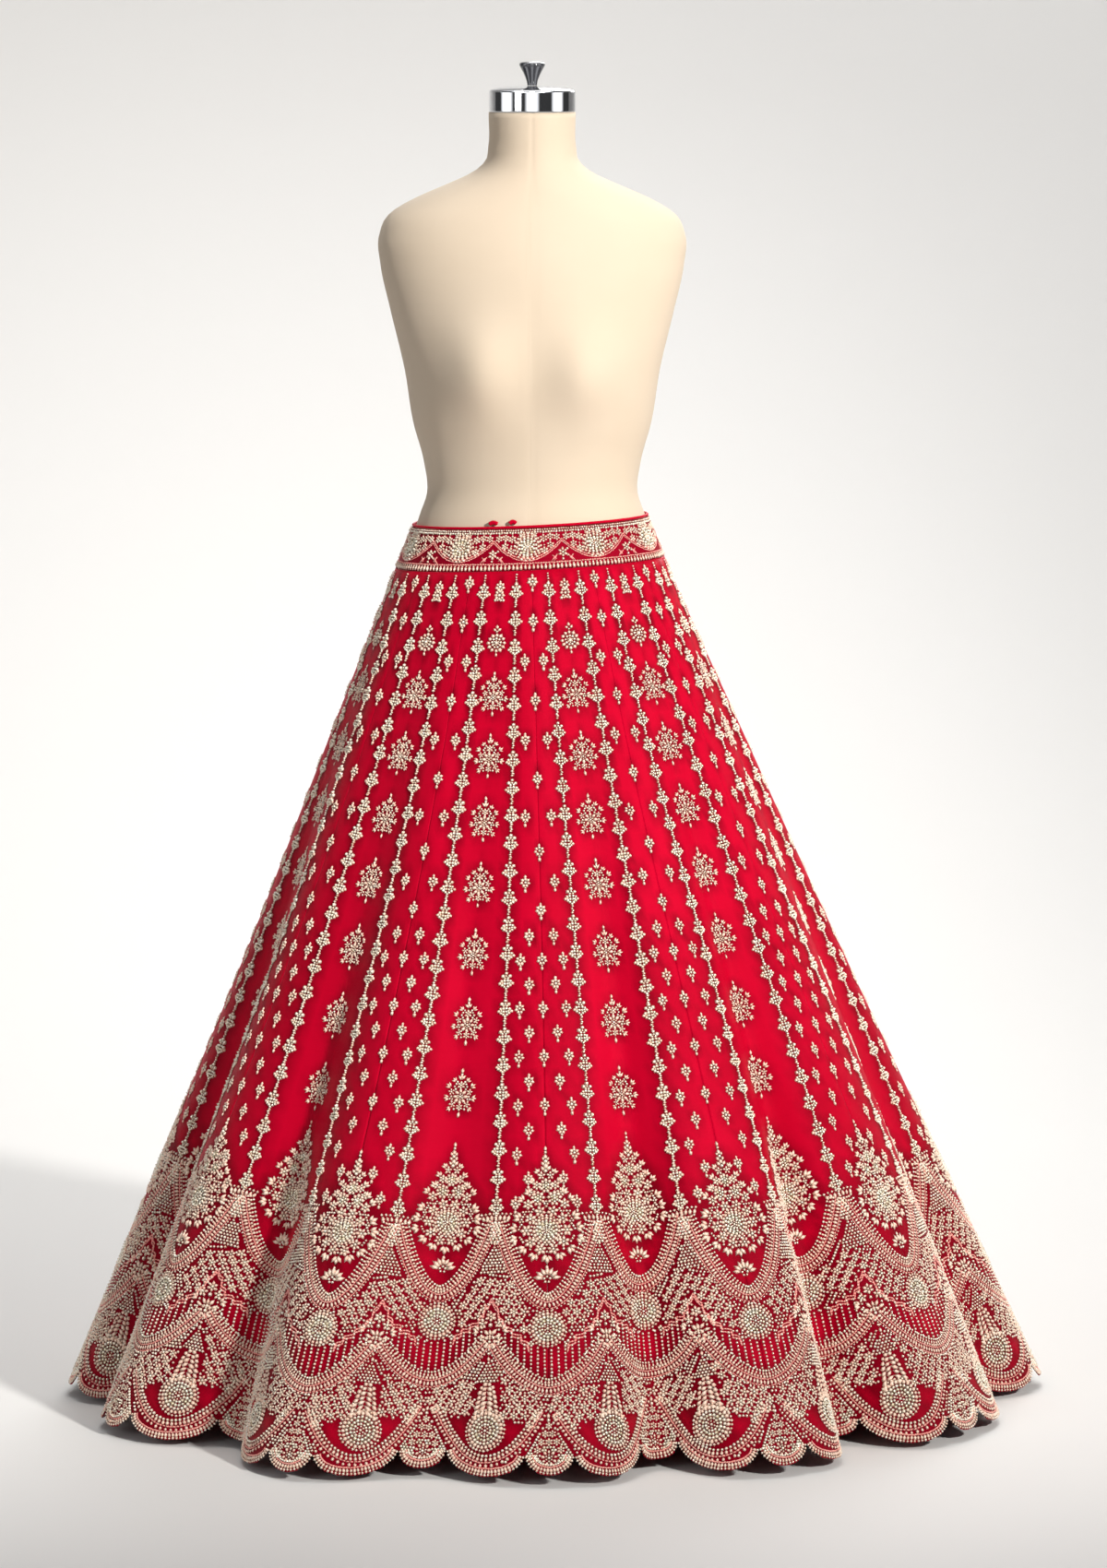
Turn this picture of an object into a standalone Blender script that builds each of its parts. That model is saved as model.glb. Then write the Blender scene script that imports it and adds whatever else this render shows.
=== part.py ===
"""A floor-length lehenga skirt of twelve gores on a limbless dress form.

Metres, +Z up. The origin is on the floor under the middle of the round base,
and the skirt's front faces -Y. A place round the skirt is counted in kalis
(gores) from the seam at the front centre towards +X.
"""

import math
from collections import namedtuple

import bmesh
import bpy
import numpy as np

# Cloth and seams
CLOTH = 0.002
BAND_WALL = 0.0025
SEAM_GAP = 0.0003

# Skirt
KALIS = 12
SEAM_Z = 0.9693          # seam under the waistband, at the middle
SEAM_TILT = 0.046        # the band sits higher at +X by this much for each metre
HEM_CLEAR = 0.004        # lowest hem tips above the floor
FOLD_GROWTH = 1.8        # how fast the flutes deepen towards the hem
RIDGE_RISE = 0.018       # height of a plain ridge at the hem, over the mean section

# Scallops of the hem, as places across one kali: a large one hangs under each
# chain of motifs and a small fan hangs at the seams and at the kali's middle
SMALL_HALF = 0.09
LARGE_DROP = 0.026
SMALL_DROP = 0.022
SCALLOP_REACH = 0.10     # share of the skirt's height over which the scallops fade out

# Waistband and drawstring
BAND_HEIGHT = 0.046
PIPING_RADIUS = 0.0016
CORD_RADIUS = 0.0024

# Dress form
BASE_RADIUS = 0.180
BASE_HEIGHT = 0.012
HUB_RADIUS = 0.026
HUB_HEIGHT = 0.034
POLE_RADIUS = 0.016
PLATE_HEIGHT = 0.006
CAP_RADIUS = 0.0496
CAP_HEIGHT = 0.025
DOME_HEIGHT = 0.006
KNOB_TOP_RADIUS = 0.015
KNOB_NECK_RADIUS = 0.0058
KNOB_HEIGHT = 0.027
BUST_Z = 1.19
BUST_RISE = 0.020
CUP_SPREAD = 0.062       # each cup's middle from the centre front
CUP_WIDTH = 0.042
CUP_HEIGHT = 0.055
CUP_FADE = 0.060         # depth over which the cups fade out towards the sides

# Mean sections of the skirt, its flutes left out
SkirtSection = namedtuple("SkirtSection", "height half_width half_depth shift_x")
SKIRT = [
    SkirtSection(1.0100, 0.1382, 0.1002, 0.000),
    SkirtSection(0.9693, 0.1546, 0.1116, 0.000),
    SkirtSection(0.7900, 0.2290, 0.1600, 0.005),
    SkirtSection(0.5300, 0.3340, 0.2680, 0.014),
    SkirtSection(0.2700, 0.4420, 0.3850, 0.022),
    SkirtSection(0.0000, 0.5500, 0.5140, 0.030),
]

# One row a kali, from the front centre towards +X. Sizes are those at the hem: how deep
# the valley is, where across the kali it lies, its width in kalis, how much the ridge at
# the kali's first seam rises beside a plain one, how much the hem is lifted, and how far
# that seam is moved round, in kalis
Fold = namedtuple("Fold", "valley middle width ridge lift nudge")
FOLDS = [
    Fold(0.062, 0.52, 0.17, 0.80, 0.004, -0.04),
    Fold(0.080, 0.50, 0.15, 0.90, 0.003, -0.09),
    Fold(0.050, 0.60, 0.18, 0.60, 0.002, -0.08),
    Fold(0.052, 0.47, 0.20, 1.15, 0.002, 0.00),
    Fold(0.070, 0.52, 0.17, 0.85, 0.005, 0.05),
    Fold(0.046, 0.50, 0.21, 1.00, 0.001, -0.03),
    Fold(0.064, 0.45, 0.18, 1.20, 0.004, 0.02),
    Fold(0.055, 0.53, 0.19, 0.90, 0.006, -0.04),
    Fold(0.068, 0.49, 0.16, 1.05, 0.002, 0.03),
    Fold(0.046, 0.44, 0.18, 1.50, 0.003, 0.18),
    Fold(0.040, 0.50, 0.16, 2.10, 0.002, -0.06),
    Fold(0.014, 0.54, 0.20, 3.00, 0.000, -0.04),
]

# Sections of the form's torso, from under the hips to the top of the neck
TorsoSection = namedtuple("TorsoSection", "height half_width half_depth shift_y")
TORSO = [
    TorsoSection(0.7220, 0.1500, 0.1120, 0.000),
    TorsoSection(0.7600, 0.1620, 0.1200, 0.000),
    TorsoSection(0.8300, 0.1680, 0.1210, 0.000),
    TorsoSection(0.9000, 0.1620, 0.1155, 0.000),
    TorsoSection(0.9550, 0.1575, 0.1127, 0.000),
    TorsoSection(1.0190, 0.1317, 0.0947, 0.000),
    TorsoSection(1.0480, 0.1215, 0.0885, 0.000),
    TorsoSection(1.0850, 0.1250, 0.0910, -0.001),
    TorsoSection(1.1300, 0.1370, 0.0980, -0.003),
    TorsoSection(1.1900, 0.1465, 0.1050, -0.005),
    TorsoSection(1.2600, 0.1630, 0.1030, -0.004),
    TorsoSection(1.3100, 0.1740, 0.0970, -0.002),
    TorsoSection(1.3450, 0.1755, 0.0880, 0.000),
    TorsoSection(1.3700, 0.1620, 0.0790, 0.001),
    TorsoSection(1.3880, 0.1310, 0.0720, 0.002),
    TorsoSection(1.4030, 0.0960, 0.0650, 0.002),
    TorsoSection(1.4155, 0.0690, 0.0570, 0.001),
    TorsoSection(1.4270, 0.0550, 0.0520, 0.000),
    TorsoSection(1.4450, 0.0505, 0.0505, 0.000),
    TorsoSection(1.4840, 0.0500, 0.0500, 0.000),
]

# Fineness
TORSO_SIDES = 48
ELLIPSE_STEPS = 2880
RING_STEPS = 48          # samples across a kali in the worked-out rings
RING_ROWS = 60
RAW_STEPS = 4 * RING_STEPS
TANGENT_ROUND = 0.02     # in kalis
TANGENT_DOWN = 0.01
COARSE_SHARES = (0.0, 0.08, 0.20, 0.33, 0.46, 0.58, 0.69, 0.79, 0.86)
FINE_SHARES = (0.91, 0.955, 1.0)
SCALLOP_COLUMNS = (2, 6, 4, 6, 2)
BAND_ROWS = 3
TURNED_SIDES = 48


def clear_scene():
    """Remove whatever the scene holds."""
    for scene_object in list(bpy.data.objects):
        bpy.data.objects.remove(scene_object)


def principled(name, color, roughness, metallic=0.0):
    """A plain Principled material."""
    material = bpy.data.materials.new(name)
    material.use_nodes = True
    shader = material.node_tree.nodes["Principled BSDF"]
    shader.inputs["Base Color"].default_value = (*color, 1.0)
    shader.inputs["Roughness"].default_value = roughness
    shader.inputs["Metallic"].default_value = metallic
    return material


def new_object(name, mesh, material, smooth=True):
    """Link a mesh as one named object of the part."""
    mesh.materials.append(material)
    if smooth:
        mesh.shade_smooth()
        mesh.set_sharp_from_angle(angle=math.radians(35))
    part = bpy.data.objects.new(name, mesh)
    collection.objects.link(part)
    return part


def smooth_table(rows, column, height):
    """Read one column of a section table at a height, on a smooth curve through its rows."""
    heights = np.array([row.height for row in rows])
    values = np.array([getattr(row, column) for row in rows])
    if heights[0] > heights[-1]:
        heights, values = heights[::-1], values[::-1]
    slopes = np.gradient(values, heights)
    height = np.clip(height, heights[0], heights[-1])
    index = np.clip(np.searchsorted(heights, height) - 1, 0, len(heights) - 2)
    span = heights[index + 1] - heights[index]
    t = (height - heights[index]) / span
    start = (2 * t**3 - 3 * t**2 + 1) * values[index] + (t**3 - 2 * t**2 + t) * span * slopes[index]
    end = (3 * t**2 - 2 * t**3) * values[index + 1] + (t**3 - t**2) * span * slopes[index + 1]
    return start + end


def smoothstep(value):
    """0 to 1 with a soft start and end."""
    t = np.clip(value, 0.0, 1.0)
    return t * t * (3 - 2 * t)


def round_kalis(column, place):
    """A fold table column read at a seam place, eased from each kali's first seam to the next."""
    values = np.array([getattr(fold, column) for fold in FOLDS])
    first = np.floor(place).astype(int) % KALIS
    ease = smoothstep(place - np.floor(place))
    return values[first] * (1 - ease) + values[(first + 1) % KALIS] * ease


def skirt_ring(height):
    """The skirt's section at a height, RING_STEPS points a kali, even in length across each."""
    half_width = smooth_table(SKIRT, "half_width", height)
    half_depth = smooth_table(SKIRT, "half_depth", height)
    shift_x = smooth_table(SKIRT, "shift_x", height)
    share = np.clip((SEAM_Z - height) / SEAM_Z, 0.0, 1.0)
    growth = share**FOLD_GROWTH

    # Angles that step evenly round the plain ellipse
    fine = np.linspace(0.0, 2 * math.pi, ELLIPSE_STEPS + 1)
    x, y = half_width * np.sin(fine), -half_depth * np.cos(fine)
    length = np.concatenate(([0.0], np.cumsum(np.hypot(np.diff(x), np.diff(y)))))
    place = np.linspace(0.0, KALIS, KALIS * RAW_STEPS + 1)
    nudged = place + round_kalis("nudge", place) * share
    way = nudged / KALIS * length[-1]
    turns = np.floor(way / length[-1])
    angle = np.interp(way - turns * length[-1], length, fine) + 2 * math.pi * turns

    # Ridges at the seams and a valley between them, along the ellipse's normal
    kali = np.floor(place).astype(int) % KALIS
    across = place - np.floor(place)
    valley = np.array([fold.valley for fold in FOLDS])[kali]
    middle = np.array([fold.middle for fold in FOLDS])[kali]
    width = np.array([fold.width for fold in FOLDS])[kali]
    ridge = RIDGE_RISE * round_kalis("ridge", place) * np.cos(math.pi * across)**2
    bell = np.exp(-((across - middle) / width)**2)
    edge_bell = np.exp(-((np.round(across) - middle) / width)**2)
    offset = growth * (ridge - valley * (bell - edge_bell))
    normal_x, normal_y = half_depth * np.sin(angle), -half_width * np.cos(angle)
    size = np.hypot(normal_x, normal_y)
    x = half_width * np.sin(angle) + offset * normal_x / size + shift_x
    y = -half_depth * np.cos(angle) + offset * normal_y / size

    # Even steps in length across each kali
    columns = []
    for index in range(KALIS):
        span = slice(index * RAW_STEPS, (index + 1) * RAW_STEPS + 1)
        run = np.concatenate(([0.0], np.cumsum(np.hypot(np.diff(x[span]), np.diff(y[span])))))
        even = np.linspace(0.0, run[-1], RING_STEPS + 1)[:-1]
        columns.append(np.column_stack((np.interp(even, run, x[span]), np.interp(even, run, y[span]))))
    ring = np.concatenate(columns)
    return np.concatenate((ring, ring[:1]))


RING_HEIGHTS = np.linspace(-0.02, 1.01, RING_ROWS)
RINGS = np.array([skirt_ring(height) for height in RING_HEIGHTS])


def skirt_xy(place, height):
    """Where the cloth's outer face lies at a place round the skirt and a height."""
    column = (place % KALIS) * RING_STEPS
    first = min(int(column), KALIS * RING_STEPS - 1)
    row = np.clip((height - RING_HEIGHTS[0]) / (RING_HEIGHTS[1] - RING_HEIGHTS[0]), 0, RING_ROWS - 1.001)
    low = int(row)
    near = RINGS[low, first] * (1 - row + low) + RINGS[low + 1, first] * (row - low)
    far = RINGS[low, first + 1] * (1 - row + low) + RINGS[low + 1, first + 1] * (row - low)
    return near * (1 - column + first) + far * (column - first)


def scallop_drop(across):
    """How far the hem hangs below its notches at a place across a kali."""
    edges = (-SMALL_HALF, SMALL_HALF, 0.5 - SMALL_HALF, 0.5 + SMALL_HALF, 1 - SMALL_HALF, 1 + SMALL_HALF)
    for index, (start, end) in enumerate(zip(edges, edges[1:])):
        if start <= across <= end:
            half = (end - start) / 2
            drop = SMALL_DROP if index % 2 == 0 else LARGE_DROP
            return drop * math.sqrt(max(0.0, 1 - ((across - start) / half - 1)**2))
    return 0.0


def cloth_height(place, share):
    """Height of the cloth at a place, for a share of the way from waist seam to hem."""
    top = SEAM_Z + SEAM_TILT * skirt_xy(place, SEAM_Z)[0] - 1.5 * SEAM_GAP
    across = place - math.floor(place)
    hem = HEM_CLEAR + LARGE_DROP + float(round_kalis("lift", np.array(place)))
    fade = smoothstep((share - 1 + SCALLOP_REACH) / SCALLOP_REACH)
    return top * (1 - share) + hem * share - scallop_drop(across) * fade


def cloth_point(place, share):
    """A point of the cloth's outer face."""
    height = cloth_height(place, share)
    x, y = skirt_xy(place, height)
    return np.array((x, y, height))


def cloth_normal(place, height):
    """The outer face's normal, from its slopes round and down the skirt."""
    left, right = skirt_xy(place - TANGENT_ROUND, height), skirt_xy(place + TANGENT_ROUND, height)
    low, high = skirt_xy(place, height - TANGENT_DOWN), skirt_xy(place, height + TANGENT_DOWN)
    along = np.array((*(right - left), 0.0))
    up = np.array((*(high - low), 2 * TANGENT_DOWN))
    normal = np.cross(along, up)
    return normal / np.linalg.norm(normal)


def kali_columns():
    """Places across a kali: finely stepped so that each scallop has a vertex at its notches."""
    notches = (0.0, SMALL_HALF, 0.5 - SMALL_HALF, 0.5 + SMALL_HALF, 1 - SMALL_HALF, 1.0)
    places = [0.0]
    for start, end, steps in zip(notches, notches[1:], SCALLOP_COLUMNS):
        places += [start + (end - start) * step / steps for step in range(1, steps + 1)]
    return places


def kali_mesh(index):
    """One gore's wall, fine over the scallops and coarser above.

    Its inner face is the outer one moved in along the cloth's own normals, which the
    neighbouring gores share, so the walls stay SEAM_GAP apart right through a seam.
    """
    fine = kali_columns()
    coarse = fine[::2]
    mesh = bmesh.new()
    walls = []
    for depth in (0.0, CLOTH):
        rows = []
        for share in COARSE_SHARES + FINE_SHARES:
            places = fine if share in FINE_SHARES else coarse
            quarter = np.linalg.norm(cloth_point(index + 0.25, share) - cloth_point(index + 0.5, share))
            trim = SEAM_GAP / 2 / (4 * quarter)
            row = []
            for across in places:
                place = index + trim + across * (1 - 2 * trim)
                point = cloth_point(place, share)
                row.append(mesh.verts.new(point - depth * cloth_normal(place, point[2])))
            rows.append(row)
        walls.append(rows)

    for wall, rows in enumerate(walls):
        for upper, lower in zip(rows, rows[1:]):
            if len(upper) == len(lower):
                quads = [(upper[i], lower[i], lower[i + 1], upper[i + 1]) for i in range(len(upper) - 1)]
            else:
                quads = []
                for i in range(len(upper) - 1):
                    quads.append((upper[i], lower[2 * i], lower[2 * i + 1]))
                    quads.append((upper[i], lower[2 * i + 1], upper[i + 1]))
                    quads.append((upper[i + 1], lower[2 * i + 1], lower[2 * i + 2]))
            for quad in quads:
                mesh.faces.new(quad if wall == 0 else quad[::-1])
    outer, inner = walls
    for i in range(len(outer[0]) - 1):
        mesh.faces.new((outer[0][i + 1], inner[0][i + 1], inner[0][i], outer[0][i]))
    for i in range(len(outer[-1]) - 1):
        mesh.faces.new((outer[-1][i], inner[-1][i], inner[-1][i + 1], outer[-1][i + 1]))
    for row in range(len(outer) - 1):
        mesh.faces.new((outer[row][0], inner[row][0], inner[row + 1][0], outer[row + 1][0]))
        mesh.faces.new((outer[row + 1][-1], inner[row + 1][-1], inner[row][-1], outer[row][-1]))
    result = bpy.data.meshes.new(f"kali_{index + 1:02d}")
    mesh.to_mesh(result)
    mesh.free()
    return result


def torso_size(column, height):
    """One column of the torso's table at a height."""
    return np.interp(height, [row.height for row in TORSO], [getattr(row, column) for row in TORSO])


def torso_point(angle, height, out=0.0):
    """A point of the form's surface, or that far out of it. Angle 0 is the front."""
    x = (torso_size("half_width", height) + out) * math.sin(angle)
    y = -(torso_size("half_depth", height) + out) * math.cos(angle) + torso_size("shift_y", height)
    if y < 0:
        cups = sum(math.exp(-((x - side * CUP_SPREAD) / CUP_WIDTH)**2) for side in (-1, 1))
        rise = math.exp(-((height - BUST_Z) / CUP_HEIGHT)**2)
        y -= BUST_RISE * cups * rise * smoothstep(-y / CUP_FADE)
    return (x, y, height)


def loft(name, rings, closed_ends):
    """A tube through rings of points, listed bottom to top, each going round anticlockwise."""
    mesh = bmesh.new()
    loops = [[mesh.verts.new(point) for point in ring] for ring in rings]
    sides = len(rings[0])
    for lower, upper in zip(loops, loops[1:]):
        for i in range(sides):
            j = (i + 1) % sides
            mesh.faces.new((lower[i], lower[j], upper[j], upper[i]))
    if closed_ends:
        mesh.faces.new(loops[0][::-1])
        mesh.faces.new(loops[-1])
    result = bpy.data.meshes.new(name)
    mesh.to_mesh(result)
    mesh.free()
    return result


def ring_angles():
    """Angles round the form."""
    return [2 * math.pi * i / TORSO_SIDES for i in range(TORSO_SIDES)]


def build_torso(material):
    """The form's body, one smooth closed loft from the hips to the neck."""
    rings = [[torso_point(angle, row.height) for angle in ring_angles()] for row in TORSO]
    return new_object("form_torso", loft("form_torso", rings, True), material)


def band_height(angle, rise):
    """Height on the tilted waistband, that far above its lower edge."""
    x = torso_point(angle, SEAM_Z + rise)[0]
    return SEAM_Z + rise + SEAM_TILT * x


def build_waistband(material):
    """The waistband, a tilted ring seated on the form."""
    out = 1.5 * SEAM_GAP + BAND_WALL
    rings = []
    for row in range(BAND_ROWS + 1):
        rise = BAND_HEIGHT * row / BAND_ROWS
        rings.append([torso_point(angle, band_height(angle, rise), out) for angle in ring_angles()])
    band = new_object("waistband", loft("waistband", rings, False), material)
    solidify = band.modifiers.new("wall", "SOLIDIFY")
    solidify.thickness = BAND_WALL
    solidify.offset = -1.0
    return band


def tube(name, points, radius, material, cyclic=False):
    """A cord: a poly curve with a round bevel."""
    curve = bpy.data.curves.new(name, "CURVE")
    curve.dimensions = "3D"
    curve.bevel_depth = radius
    curve.bevel_resolution = 2
    curve.use_fill_caps = not cyclic
    spline = curve.splines.new("POLY")
    spline.points.add(len(points) - 1)
    for control, point in zip(spline.points, points):
        control.co = (*point, 1.0)
    spline.use_cyclic_u = cyclic
    curve.materials.append(material)
    cord = bpy.data.objects.new(name, curve)
    collection.objects.link(cord)
    return cord


def build_piping(material):
    """Corded piping along the waistband's top edge."""
    rise = BAND_HEIGHT + SEAM_GAP + PIPING_RADIUS
    out = 2 * SEAM_GAP + PIPING_RADIUS
    points = [torso_point(angle, band_height(angle, rise), out) for angle in ring_angles()]
    return tube("waistband_piping", points, PIPING_RADIUS, material, cyclic=True)


def build_drawstring(material):
    """The bit of bow and the free end that show over the piping at the front."""
    DrawstringBit = namedtuple("DrawstringBit", "name start_x end_x rise")
    bits = [
        DrawstringBit("drawstring_bow", -0.0478, -0.0386, 0.0018),
        DrawstringBit("drawstring_end", -0.0254, -0.0180, 0.0022),
    ]
    seat = BAND_HEIGHT + 2 * PIPING_RADIUS + 2 * SEAM_GAP + CORD_RADIUS
    steps = 8
    for bit in bits:
        points = []
        for step in range(steps + 1):
            t = step / steps
            x = bit.start_x + (bit.end_x - bit.start_x) * t
            angle = math.asin(x / torso_size("half_width", SEAM_Z + seat))
            height = band_height(angle, seat) + bit.rise * math.sin(math.pi * t)
            points.append(torso_point(angle, height, 2 * SEAM_GAP + CORD_RADIUS))
        tube(bit.name, points, CORD_RADIUS, material)


def cylinder(name, radius, bottom, height, material, bevel):
    """An upright cylinder with rounded edges, standing on a height."""
    mesh = bmesh.new()
    bmesh.ops.create_cone(mesh, cap_ends=True, segments=TURNED_SIDES, radius1=radius, radius2=radius, depth=height)
    bmesh.ops.translate(mesh, vec=(0, 0, height / 2), verts=mesh.verts)
    result = bpy.data.meshes.new(name)
    mesh.to_mesh(result)
    mesh.free()
    part = new_object(name, result, material)
    part.location.z = bottom
    rounding = part.modifiers.new("rounded edges", "BEVEL")
    rounding.width = bevel
    rounding.segments = 2
    rounding.limit_method = "ANGLE"
    return part


def turned(name, profile, bottom, material):
    """A turned solid from (radius, height) pairs that run down its outer side."""
    mesh = bpy.data.meshes.new(name)
    points = [(radius, 0.0, height) for radius, height in profile]
    mesh.from_pydata(points, [(i, i + 1) for i in range(len(points) - 1)], [])
    part = new_object(name, mesh, material, smooth=False)
    part.location.z = bottom
    screw = part.modifiers.new("turned", "SCREW")
    screw.steps = TURNED_SIDES
    screw.render_steps = TURNED_SIDES
    screw.use_merge_vertices = True
    screw.merge_threshold = 0.00001
    return part


def build_stand(metal, cover):
    """Round base, hub, pole and the plate that closes the torso from below."""
    plate_bottom = TORSO[0].height - SEAM_GAP - PLATE_HEIGHT
    hub_bottom = BASE_HEIGHT + SEAM_GAP
    pole_bottom = hub_bottom + HUB_HEIGHT + SEAM_GAP
    cylinder("form_base", BASE_RADIUS, 0.0, BASE_HEIGHT, metal, 0.003)
    cylinder("form_hub", HUB_RADIUS, hub_bottom, HUB_HEIGHT, metal, 0.002)
    cylinder("form_pole", POLE_RADIUS, pole_bottom, plate_bottom - SEAM_GAP - pole_bottom, metal, 0.001)
    outline = [torso_point(angle, TORSO[0].height) for angle in ring_angles()]
    rings = [[(x, y, plate_bottom + rise) for x, y, _ in outline] for rise in (0.0, PLATE_HEIGHT)]
    new_object("form_plate", loft("form_plate", rings, True), cover)


def build_cap(metal, dark):
    """The metal cap on the neck and its flared knob."""
    cap_bottom = TORSO[-1].height + SEAM_GAP
    dome = [(CAP_RADIUS * math.sin(a), CAP_HEIGHT - 0.001 + DOME_HEIGHT * math.cos(a))
            for a in np.linspace(0.0, 0.47 * math.pi, 7)]
    profile = dome + [(CAP_RADIUS, CAP_HEIGHT - 0.001), (CAP_RADIUS, 0.0), (0.0, 0.0)]
    turned("neck_cap", profile, cap_bottom, metal)
    knob_bottom = cap_bottom + CAP_HEIGHT - 0.001 + DOME_HEIGHT + SEAM_GAP
    knob = [
        (0.0, KNOB_HEIGHT),
        (KNOB_TOP_RADIUS - 0.003, KNOB_HEIGHT - 0.0004),
        (KNOB_TOP_RADIUS - 0.0008, KNOB_HEIGHT - 0.0014),
        (KNOB_TOP_RADIUS, KNOB_HEIGHT - 0.0034),
        (KNOB_NECK_RADIUS, 0.0022),
        (KNOB_NECK_RADIUS - 0.002, 0.0012),
        (KNOB_NECK_RADIUS - 0.002, 0.0),
        (0.0, 0.0),
    ]
    turned("neck_knob", knob, knob_bottom, dark)


clear_scene()
collection = bpy.data.collections.new("lehenga skirt on dress form")
bpy.context.scene.collection.children.link(collection)

silk = principled("crimson silk", (0.62, 0.006, 0.028), 0.45)
band_silk = principled("embroidered waistband", (0.55, 0.05, 0.04), 0.5)
cover_cloth = principled("cream cover", (0.86, 0.73, 0.58), 0.8)
chrome = principled("chrome", (0.85, 0.86, 0.87), 0.12, metallic=1.0)
dark_knob = principled("dark knob", (0.03, 0.03, 0.035), 0.25)

for kali_index in range(KALIS):
    new_object(f"kali_{kali_index + 1:02d}", kali_mesh(kali_index), silk)
build_waistband(band_silk)
build_piping(silk)
build_drawstring(silk)
build_torso(cover_cloth)
build_stand(chrome, cover_cloth)
build_cap(chrome, dark_knob)
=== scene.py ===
import math

import bmesh
import bpy
import numpy as np
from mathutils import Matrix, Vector


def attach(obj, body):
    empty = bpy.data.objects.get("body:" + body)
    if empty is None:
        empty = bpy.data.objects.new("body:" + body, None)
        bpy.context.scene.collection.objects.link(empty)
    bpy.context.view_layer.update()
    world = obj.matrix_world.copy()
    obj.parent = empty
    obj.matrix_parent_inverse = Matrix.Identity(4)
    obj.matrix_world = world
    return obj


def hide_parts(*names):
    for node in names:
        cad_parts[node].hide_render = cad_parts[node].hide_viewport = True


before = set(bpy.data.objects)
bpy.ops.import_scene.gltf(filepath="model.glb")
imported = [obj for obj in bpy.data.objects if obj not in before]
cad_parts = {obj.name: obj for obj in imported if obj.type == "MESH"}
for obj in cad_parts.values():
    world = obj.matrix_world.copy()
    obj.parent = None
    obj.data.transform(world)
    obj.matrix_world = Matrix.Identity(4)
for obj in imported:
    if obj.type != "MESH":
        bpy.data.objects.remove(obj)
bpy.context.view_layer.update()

mm = 0.001

# The front of the skirt faces -Y. A place round it is counted in kalis (gores) from the
# seam at the front centre towards +X, and a slant is a way down the cloth from the waist
camera = {
    "place": (0.0087, -7.5, 1.665),
    "tiltDown": 7.26,       # degrees
    "pan": -0.12,
    "lens": 149.8,
    "frameHeight": 36.0,
}


def linkObject(name, data):
    made = bpy.data.objects.new(name, data)
    bpy.context.scene.collection.objects.link(made)
    return made


def addCamera():
    data = bpy.data.cameras.new("camera")
    data.sensor_fit = "VERTICAL"
    data.sensor_height = camera["frameHeight"]
    data.lens = camera["lens"]
    data.clip_end = 60
    view = linkObject("camera", data)
    view.location = camera["place"]
    view.rotation_euler = (math.radians(90 - camera["tiltDown"]), 0, math.radians(camera["pan"]))
    bpy.context.scene.camera = view


addCamera()
print("camera set")

# The skirt's main sizes, the same as those of its solids
skirt = {
    "kalis": 12,
    "seamZ": 0.9693,        # seam under the waistband, at the middle
    "seamTilt": 0.046,      # the band sits higher at +X
    "seamGap": 0.0003,
    "hemClear": 0.004,
    "foldGrowth": 1.8,
    "ridgeRise": 0.018,
    "fanHalf": 0.09,        # half width of a fan scallop, in kalis
    "largeDrop": 0.026,
    "fanDrop": 0.022,
    "scallopReach": 0.10,
    "thickness": 0.0011,
    "seamTuck": 0.00035,    # how deep the cloth dips into a seam
    "seamTuckWidth": 0.0035,
    "seamColumns": (0.0, 0.012, 0.03),
    "spanColumns": (2, 6, 8, 6, 2),
    "rows": 78,
    "gridColumns": 48,      # columns a kali and metres a row in the worked-out surface
    "gridRow": 0.005,
    "surfaceLength": 1.13,  # metres of cloth that are worked out, down past the hem
    "belowNotch": 0.05,
    "topClear": 0.0006,     # from the waist seam to the cloth's edge
    "rowCrowding": 0.0045,
    "scallopShare": 1.02,   # the cloth's scallops against the solids'
    "kaliWidth": 0.33,      # about, at the hem
}

# height, half width, half depth, shift towards +X
skirtSections = [
    (1.0100, 0.1382, 0.1002, 0.000),
    (0.9693, 0.1546, 0.1116, 0.000),
    (0.7900, 0.2290, 0.1600, 0.005),
    (0.5300, 0.3340, 0.2680, 0.014),
    (0.2700, 0.4420, 0.3850, 0.022),
    (0.0000, 0.5500, 0.5140, 0.030),
]

# One row a kali: valley depth, its middle and width in kalis, rise of the first seam's
# ridge, hem lift and the seam's shift in kalis
skirtFolds = np.array([
    (0.062, 0.52, 0.17, 0.80, 0.004, -0.04),
    (0.080, 0.50, 0.15, 0.90, 0.003, -0.09),
    (0.050, 0.60, 0.18, 0.60, 0.002, -0.08),
    (0.052, 0.47, 0.20, 1.15, 0.002, 0.00),
    (0.070, 0.52, 0.17, 0.85, 0.005, 0.05),
    (0.046, 0.50, 0.21, 1.00, 0.001, -0.03),
    (0.064, 0.45, 0.18, 1.20, 0.004, 0.02),
    (0.055, 0.53, 0.19, 0.90, 0.006, -0.04),
    (0.068, 0.49, 0.16, 1.05, 0.002, 0.03),
    (0.046, 0.44, 0.18, 1.50, 0.003, 0.18),
    (0.040, 0.50, 0.16, 2.10, 0.002, -0.06),
    (0.014, 0.54, 0.20, 3.00, 0.000, -0.04),
])

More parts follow.
